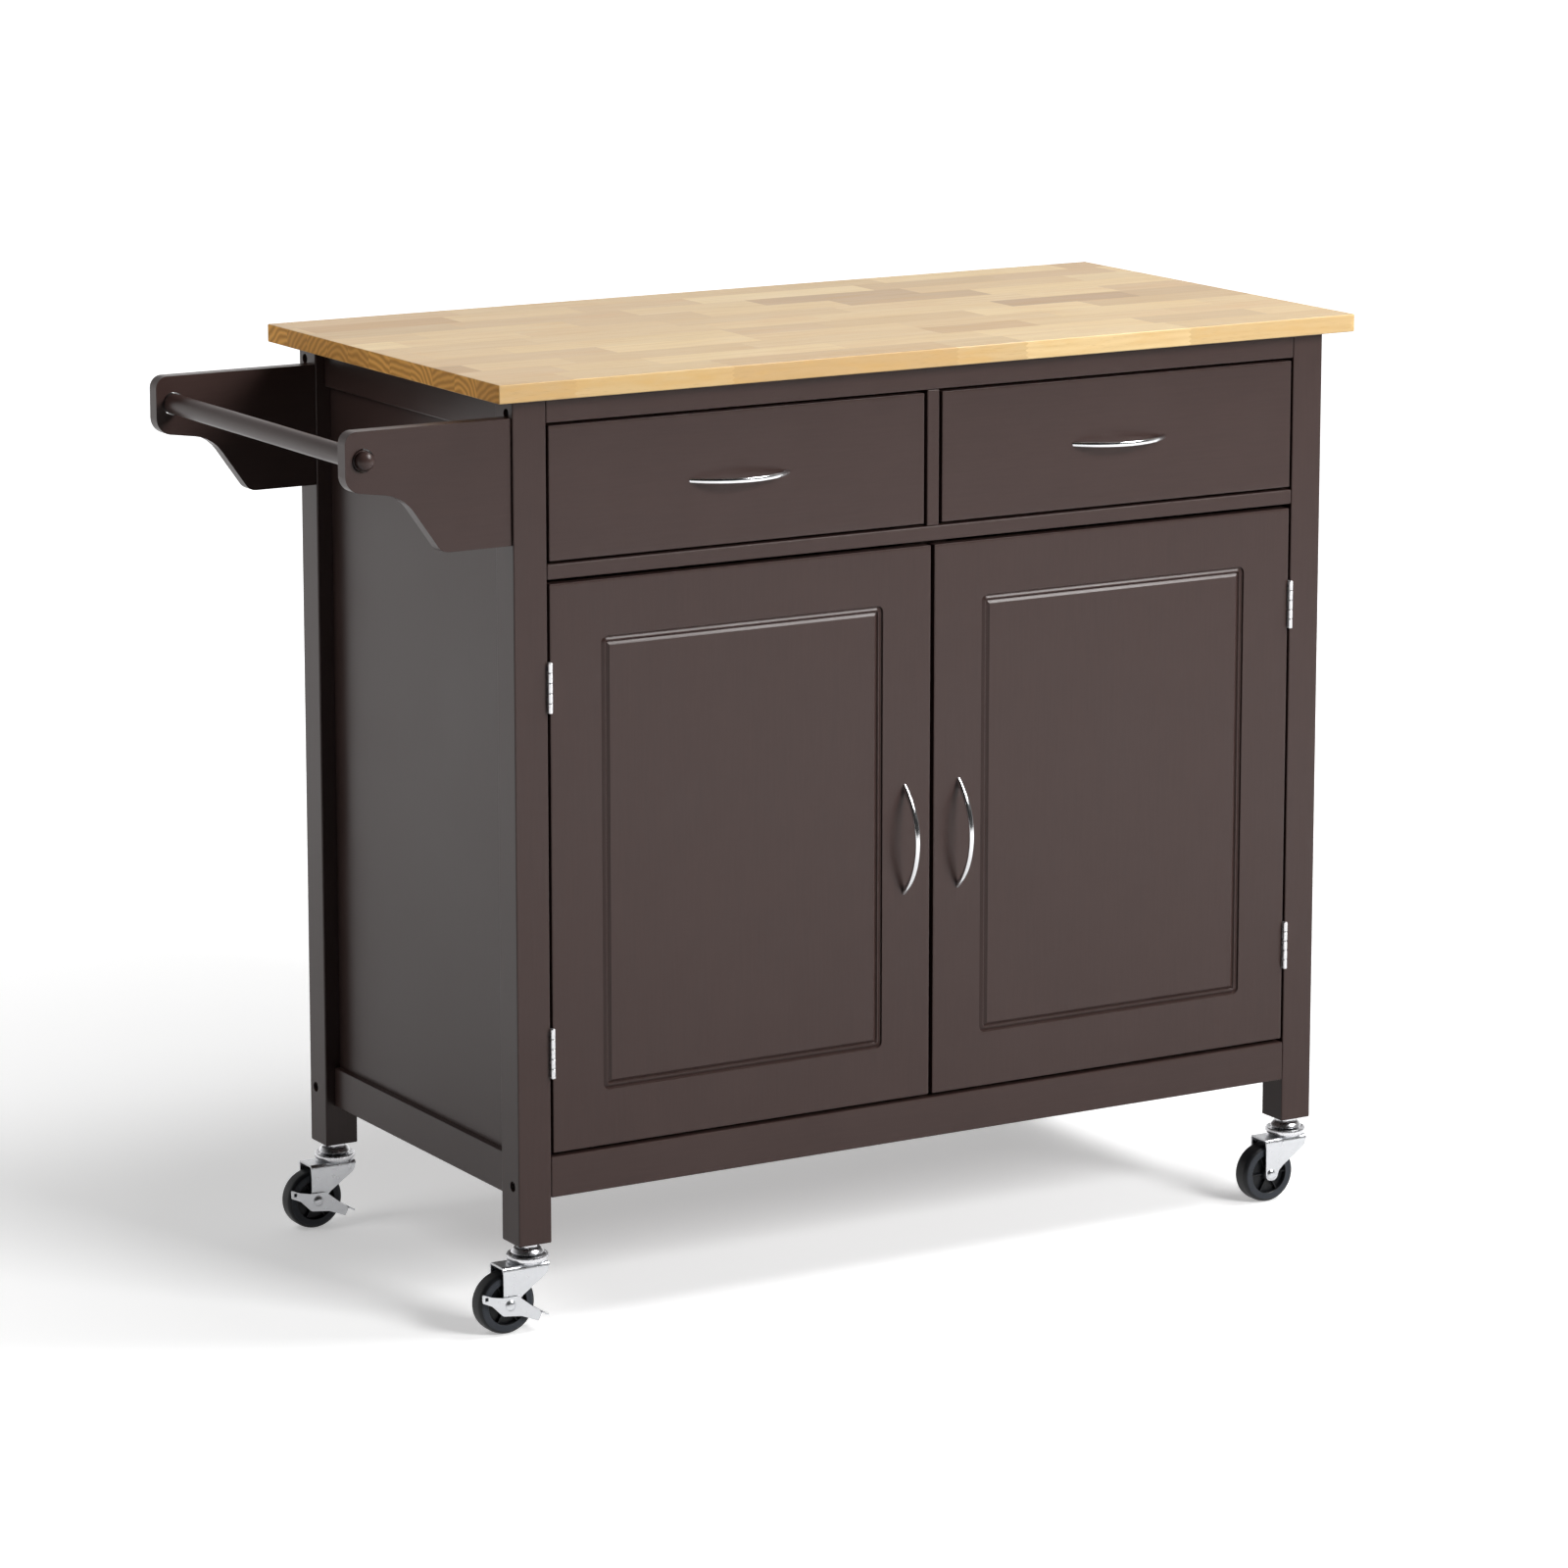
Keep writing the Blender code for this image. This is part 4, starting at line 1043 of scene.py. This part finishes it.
# %% Roll the lower race
lower_race = turned([
    (0.0060, 0.0672), (0.0170, 0.0672), (0.0178, 0.0682), (0.0186, 0.0690), (0.0198, 0.0694),
    (0.0205, 0.0703), (0.0207, 0.0716), (0.0206, 0.0732), (0.0201, 0.0742), (0.0194, 0.0746),
    (0.0187, 0.0744), (0.0178, 0.0732), (0.0168, 0.0728), (0.0160, 0.0730), (0.0120, 0.0742),
    (0.0060, 0.0744),
], 64, closed=True)
print("Lower race made")

# %% [markdown]
# The fork is pressed from flat strip, so it has one thickness all over and every bend has a round
# outside. It is drawn as two flat cheeks and a crown whose bent sides come down onto them.

# %% Press the fork
def fork_shell():
    """A cheek on each side and a crown between, all one strip FORK_WALL thick."""
    back = AXLE.x - 0.0066
    cheek = rounded([
        (back, FORK_TOP - 0.0035, 0.0), (back, AXLE.z - 0.0066, 0.0065),
        (AXLE.x + 0.0064, AXLE.z - 0.0066, 0.0060), (AXLE.x + 0.0095, AXLE.z + 0.0030, 0.0040),
        (AXLE.x + 0.0148, AXLE.z + 0.0080, 0.0060), (0.0148, 0.0562, 0.0090),
        (0.0165, FORK_TOP - 0.0035, 0.0),
    ])
    near = plate(cheek, -FORK_HALF, -FORK_HALF + FORK_WALL, 0.0004)
    far = plate(cheek, FORK_HALF - FORK_WALL, FORK_HALF, 0.0004)
    bend = 0.0035
    centre = (FORK_HALF - bend, FORK_TOP - bend)

    def over(radius):
        """Up round one bend and down round the other, at one radius of both."""
        rise = [(-u, v) for u, v in arc_points(centre, radius, 0, 90, 6)]
        return rise + arc_points(centre, radius, 90, 0, 6)

    section = over(bend) + over(bend - FORK_WALL)[::-1]
    loops = [[(x, y, z) for y, z in section] for x in (back, back + 0.0004, 0.0161, 0.0165)]
    crown = to_mesh(skin(loops), "crown")
    return merged(near, far, crown)


rivet = turned([
    (0.0, -0.0010), (0.0054, -0.0010), (0.0054, 0.0003), (0.0050, 0.0006), (0.0047, 0.0005),
    (0.0045, 0.0007), (0.0041, 0.0013), (0.0031, 0.0018), (0.0017, 0.0021), (0.0, 0.0022),
], 32)
fork = merged(fork_shell(), lower_race)
print("Fork made with", len(fork.polygons), "faces")

# %% [markdown]
# The wheel is one turned profile: a hard tread with rounded shoulders, a paler ring on each face,
# a sunk web and a hub. The ribs that brace the web repeat round the hub, so a small tree turns
# copies of one rib to equal steps.


# %% Turn the wheel and set its ribs
def rib_tree():
    """Copies of one rib, turned round the axle to equal steps."""
    tree, given, out = new_tree("wheel_ribs", [("Count", "Int"), ("Plastic", "Material")])
    points = add(tree, "GeometryNodePoints", {"Count": given["Count"]}).outputs[0]
    index = add(tree, "GeometryNodeInputIndex").outputs[0]
    turn = maths(tree, "MULTIPLY", index, maths(tree, "DIVIDE", math.tau, given["Count"]))
    turn = join(tree, 0, turn, 0)
    copies_on_points(tree, points, given["Geometry"], turn, given["Plastic"], out)
    return tree


RIB_COUNT = 6
half, hub = 0.0100, 0.0111
wheel_side = [
    (0.0030, hub), (0.0060, hub), (0.0068, hub - 0.0006), (0.0072, hub - 0.0018), (0.0074, 0.0052),
    (0.0198, 0.0050), (0.0202, half - 0.0006), (0.0207, half), (0.0262, half),
    (0.0268, half - 0.0004), (0.0272, half - 0.0005), (0.0277, half - 0.0006),
    (0.0288, half - 0.0014), (0.0296, half - 0.0030), (0.0300, half - 0.0052),
]
wheel = turned(wheel_side + [(r, -h) for r, h in wheel_side[::-1]], 72, "Y", closed=True)
rib_outline = [(0.0070, -0.0006), (0.0204, -0.0005), (0.0204, 0.0005), (0.0070, 0.0006)]
ribs = []
for low, high in ((0.0048, 0.0088), (-0.0088, -0.0048)):
    ribs.append(run_tree(rib_tree(), plate(rib_outline, low, high, 0.0002),
                         {"Count": RIB_COUNT, "Plastic": rubber}))
print("Wheel made with", 2 * RIB_COUNT, "ribs")

# %% [markdown]
# The tread, the web and the paler face ring are one moulding, so they are one piece with two
# finishes: a face goes to the paler one when it lies flat on the side, in the band of the ring.


# %% Give the wheel its two finishes
RING_INNER, RING_OUTER = 0.0203, 0.0270


def wheel_piece(corner, middle):
    mesh = copied(merged(wheel, *ribs), middle)
    mesh.materials.clear()
    mesh.materials.append(rubber)
    mesh.materials.append(wheel_face)
    for face in mesh.polygons:
        away = face.center - middle
        reach = math.hypot(away.x, away.z)
        face.material_index = int(RING_INNER < reach < RING_OUTER and abs(face.normal.y) > 0.7)
    return finish_piece(f"wheel_{corner}_tyre", mesh, None, f"wheel_{corner}",
                        [f"caster_wheel_{corner}"], 30)


# %% [markdown]
# The lever is a pressing with two cheeks, one on each side of the fork, joined by the pedal. The
# near cheek, towards the doors, has a long arm with a square hole in it. The far one has no arm.

# %% Press the brake lever
LEVER_WALL = 0.0015
LEVER_CORNERS = [
    (-0.0300, 0.0150, 0.0010), (-0.0295, 0.0065, 0.0010), (-0.0195, 0.0020, 0.0040),
    (-0.0080, -0.0095, 0.0060), (0.0120, -0.0120, 0.0080), (0.0300, -0.0195, 0.0010),
    (0.0345, -0.0105, 0.0010), (0.0255, -0.0055, 0.0040), (0.0080, 0.0085, 0.0080),
    (-0.0080, 0.0085, 0.0040), (-0.0200, 0.0110, 0.0030),
]
lever_face = FORK_HALF + GAP
square = [(-0.0272, 0.0080), (-0.0236, 0.0080), (-0.0236, 0.0116), (-0.0272, 0.0116)]
pivot = circle(0, 0, 0.0031, 20)
near_cheek = plate(rounded(LEVER_CORNERS), -lever_face - LEVER_WALL, -lever_face, 0.0004,
                   [pivot, square])
far_cheek = plate(rounded(LEVER_CORNERS[3:10]), lever_face, lever_face + LEVER_WALL, 0.0004,
                  [pivot])
pedal_outline = rounded([
    (0.0312, -0.0088, 0.0004), (0.0410, -0.0142, 0.0006), (0.0405, -0.0158, 0.0006),
    (0.0325, -0.0116, 0.0006), (0.0318, -0.0105, 0.0),
])
pedal = plate(pedal_outline, -lever_face - LEVER_WALL, lever_face + LEVER_WALL, 0.0003)
lever = merged(near_cheek, far_cheek, pedal)
print("Brake lever made")

# %% [markdown]
# The nut and the races are plated brighter than the fork, so the fork and its lower race are one
# piece with two finishes, divided at the height of the crown.

# %% Set the casters on their corners
for corner, spot, braked in CASTERS:
    axle = spot + AXLE
    finish_piece(f"stem_and_race_{corner}", copied(stem, spot), bright_zinc,
                 "cabinet", [f"caster_stem_{corner}"], 30)
    seat = FORK_HALF + (0.0021 if braked else 0.0)
    outward = [Vector((0, sign, 0)) for sign in (-1, 1)]
    heads = fitted(rivet, [(axle + side * seat, side) for side in outward], zinc)
    shank = [(0.0, -seat), (0.0025, -seat), (0.0025, seat), (0.0, seat)]
    pin = copied(turned(shank, 20, "Y"), axle)
    body = merged(copied(fork, spot), heads, pin)
    body.materials.clear()
    body.materials.append(zinc)
    body.materials.append(bright_zinc)
    for face in body.polygons:
        away = face.center - spot
        face.material_index = int(away.z > FORK_TOP + 0.0003)
    finish_piece(f"fork_and_race_{corner}", body, None, f"caster_{corner}",
                 [f"caster_fork_{corner}"], 30)
    wheel_piece(corner, axle)
    if braked:
        finish_piece(f"brake_lever_{corner}", copied(lever, axle), zinc,
                     f"brake_{corner}", [f"caster_brake_{corner}"], 30)
print("Casters set")

# %% [markdown]
# ## Bolts and shelf pins
#
# The posts are drawn up to the rails by connector bolts whose heads sit at the bottom of
# counterbored holes. The shelf rests on small steel pins. Both are round fittings on known points,
# so the tree made for the hinges sets them too.

# %% Set the bolts and the shelf pins
BOLT_INSET, BOLT_SUNK = 0.0125, 0.0038
BOLT_HEIGHTS = (0.1432, 0.8848)
PIN_INSET, PIN_DROP = 0.0300, 0.0027
bolt = turned([(0.0, -0.0060), (0.0050, -0.0060), (0.0050, -0.0006), (0.0045, 0.0), (0.0026, 0.0),
               (0.0024, -0.0004), (0.0022, -0.0030), (0.0, -0.0030)], 24)
bolts = []
for face, sign in ((0.0, -1), (WIDTH, 1)):
    for y in (BOLT_INSET, DEPTH - BOLT_INSET):
        for z in BOLT_HEIGHTS:
            bolts.append((Vector((face - sign * BOLT_SUNK, y, z)), Vector((sign, 0, 0))))
finish_piece("connector_bolts", fitted(bolt, bolts, zinc), zinc, "cabinet", (), 30)

shelf_low = size_of("shelf")[0]
pin_shape = turned([(0.0, -0.0020), (0.0025, -0.0020), (0.0025, 0.0085), (0.0020, 0.0090),
                    (0.0, 0.0090)], 16)
pins = []
for face, sign in ((POST, 1), (WIDTH - POST, -1)):
    for y in (PIN_INSET, DEPTH - PIN_INSET):
        pins.append((Vector((face, y, shelf_low.z - PIN_DROP)), Vector((sign, 0, 0))))
finish_piece("shelf_pins", fitted(pin_shape, pins, zinc), zinc, "cabinet", (), 30)
print(len(bolts), "bolts and", len(pins), "shelf pins set")

# %% [markdown]
# ## Floor and light
#
# The cart stands on a plain white floor that runs back as far as the camera can see, under soft
# studio light. A wide lamp from the right front lights the doors, one high on the right throws the
# soft shadow to the left, and a weak one reaches the left end. The sheen lamp shows only in
# reflections: it draws the bright lines on the slopes of the routed doors. The front and left lamps
# are left out of reflections, so the lacquer stays dark. Each lamp is given the level of brightness
# it should put on a white card, and its power follows from its distance.

# %% Lay the floor
FLOOR_SIZE = 25
floor_material, tree, shader = new_finish("studio_floor", Roughness=0.9, Specular_IOR_Level=0.1)
shader.inputs["Base Color"].default_value = (0.93, 0.93, 0.93, 1)
shader.inputs["Emission Color"].default_value = (1, 1, 1, 1)
place = split(tree, add(tree, "ShaderNodeTexCoord").outputs["Object"])
away = maths(tree, "SQRT", maths(tree, "ADD", maths(tree, "MULTIPLY", place[0], place[0]),
                                 maths(tree, "MULTIPLY", place[1], place[1])))
# Painted light: the floor glows by itself, weakly under the cart so that the lamps' shadows show,
# and up to more than full white far away, where the lamps' light falls off.
painted_floor_glow = spread(tree, away, 0.6, 2.8, 0.36, 1.1)
tree.links.new(painted_floor_glow, shader.inputs["Emission Strength"])
bm = bmesh.new()
bmesh.ops.create_grid(bm, x_segments=8, y_segments=8, size=FLOOR_SIZE)
floor_mesh = bpy.data.meshes.new("studio_floor")
bm.to_mesh(floor_mesh)
bm.free()
floor_mesh.materials.append(floor_material)
floor = bpy.data.objects.new("studio_floor", floor_mesh)
bpy.context.scene.collection.objects.link(floor)
floor.visible_diffuse = False
print("Floor laid")


# %% Hang the lamps
def softbox(name, azimuth, elevation, distance, size, level):
    """A flat lamp aimed at the cart. Azimuth 0 is in front of the doors, 90 off the right end."""
    data = bpy.data.lights.new(name, "AREA")
    data.shape = "RECTANGLE"
    data.size, data.size_y = size
    data.energy = level * math.pi**2 * distance**2
    lamp = bpy.data.objects.new(name, data)
    bpy.context.scene.collection.objects.link(lamp)
    a, e = math.radians(azimuth), math.radians(elevation)
    direction = Vector((math.sin(a) * math.cos(e), -math.cos(a) * math.cos(e), math.sin(e)))
    lamp.location = Vector((0, 0, 0.5)) + direction * distance
    lamp.rotation_euler = direction.to_track_quat("Z", "Y").to_euler()
    return lamp


front_lamp = softbox("front_lamp", 22, 24, 4.5, (1.8, 1.4), 0.93)
front_lamp.visible_glossy = False
softbox("key_lamp", 66, 53, 4.0, (1.2, 1.2), 0.47)
left_lamp = softbox("left_lamp", -100, 40, 2.0, (0.8, 0.8), 0.17)
left_lamp.visible_glossy = False
sheen_lamp = softbox("sheen_lamp", 44, 43, 4.0, (1.4, 1.4), 0.95)
sheen_lamp.visible_diffuse = False
print("Four lamps hung")

# %% Fill the room with dim light
world = bpy.data.worlds.new("studio")
world.use_nodes = True
bpy.context.scene.world = world
tree = world.node_tree
tree.nodes.clear()
direction = add(tree, "ShaderNodeTexCoord").outputs["Generated"]
behind = vector_maths(tree, "DOT_PRODUCT", direction, (0.30, 0.95, 0.0), out="Value")
level = spread(tree, behind, -0.3, 0.95, 0.05, 1.40)
low_down = spread(tree, split(tree, direction)[2], 0.05, 0.65, 1.0, 0.12)
level = maths(tree, "MULTIPLY", level, low_down)
seen = add(tree, "ShaderNodeLightPath").outputs["Is Camera Ray"]
strength = add(tree, "ShaderNodeMix", {0: seen, 2: level, 3: 1.0}, data_type="FLOAT").outputs[0]
background = add(tree, "ShaderNodeBackground", {"Color": (1, 1, 1, 1), "Strength": strength})
output = add(tree, "ShaderNodeOutputWorld")
tree.links.new(background.outputs[0], output.inputs[0])
print("Room filled")

# %% [markdown]
# ## Finish
#
# Last, the scene is brought up to date.

# %% Bring the scene up to date
bpy.context.view_layer.update()
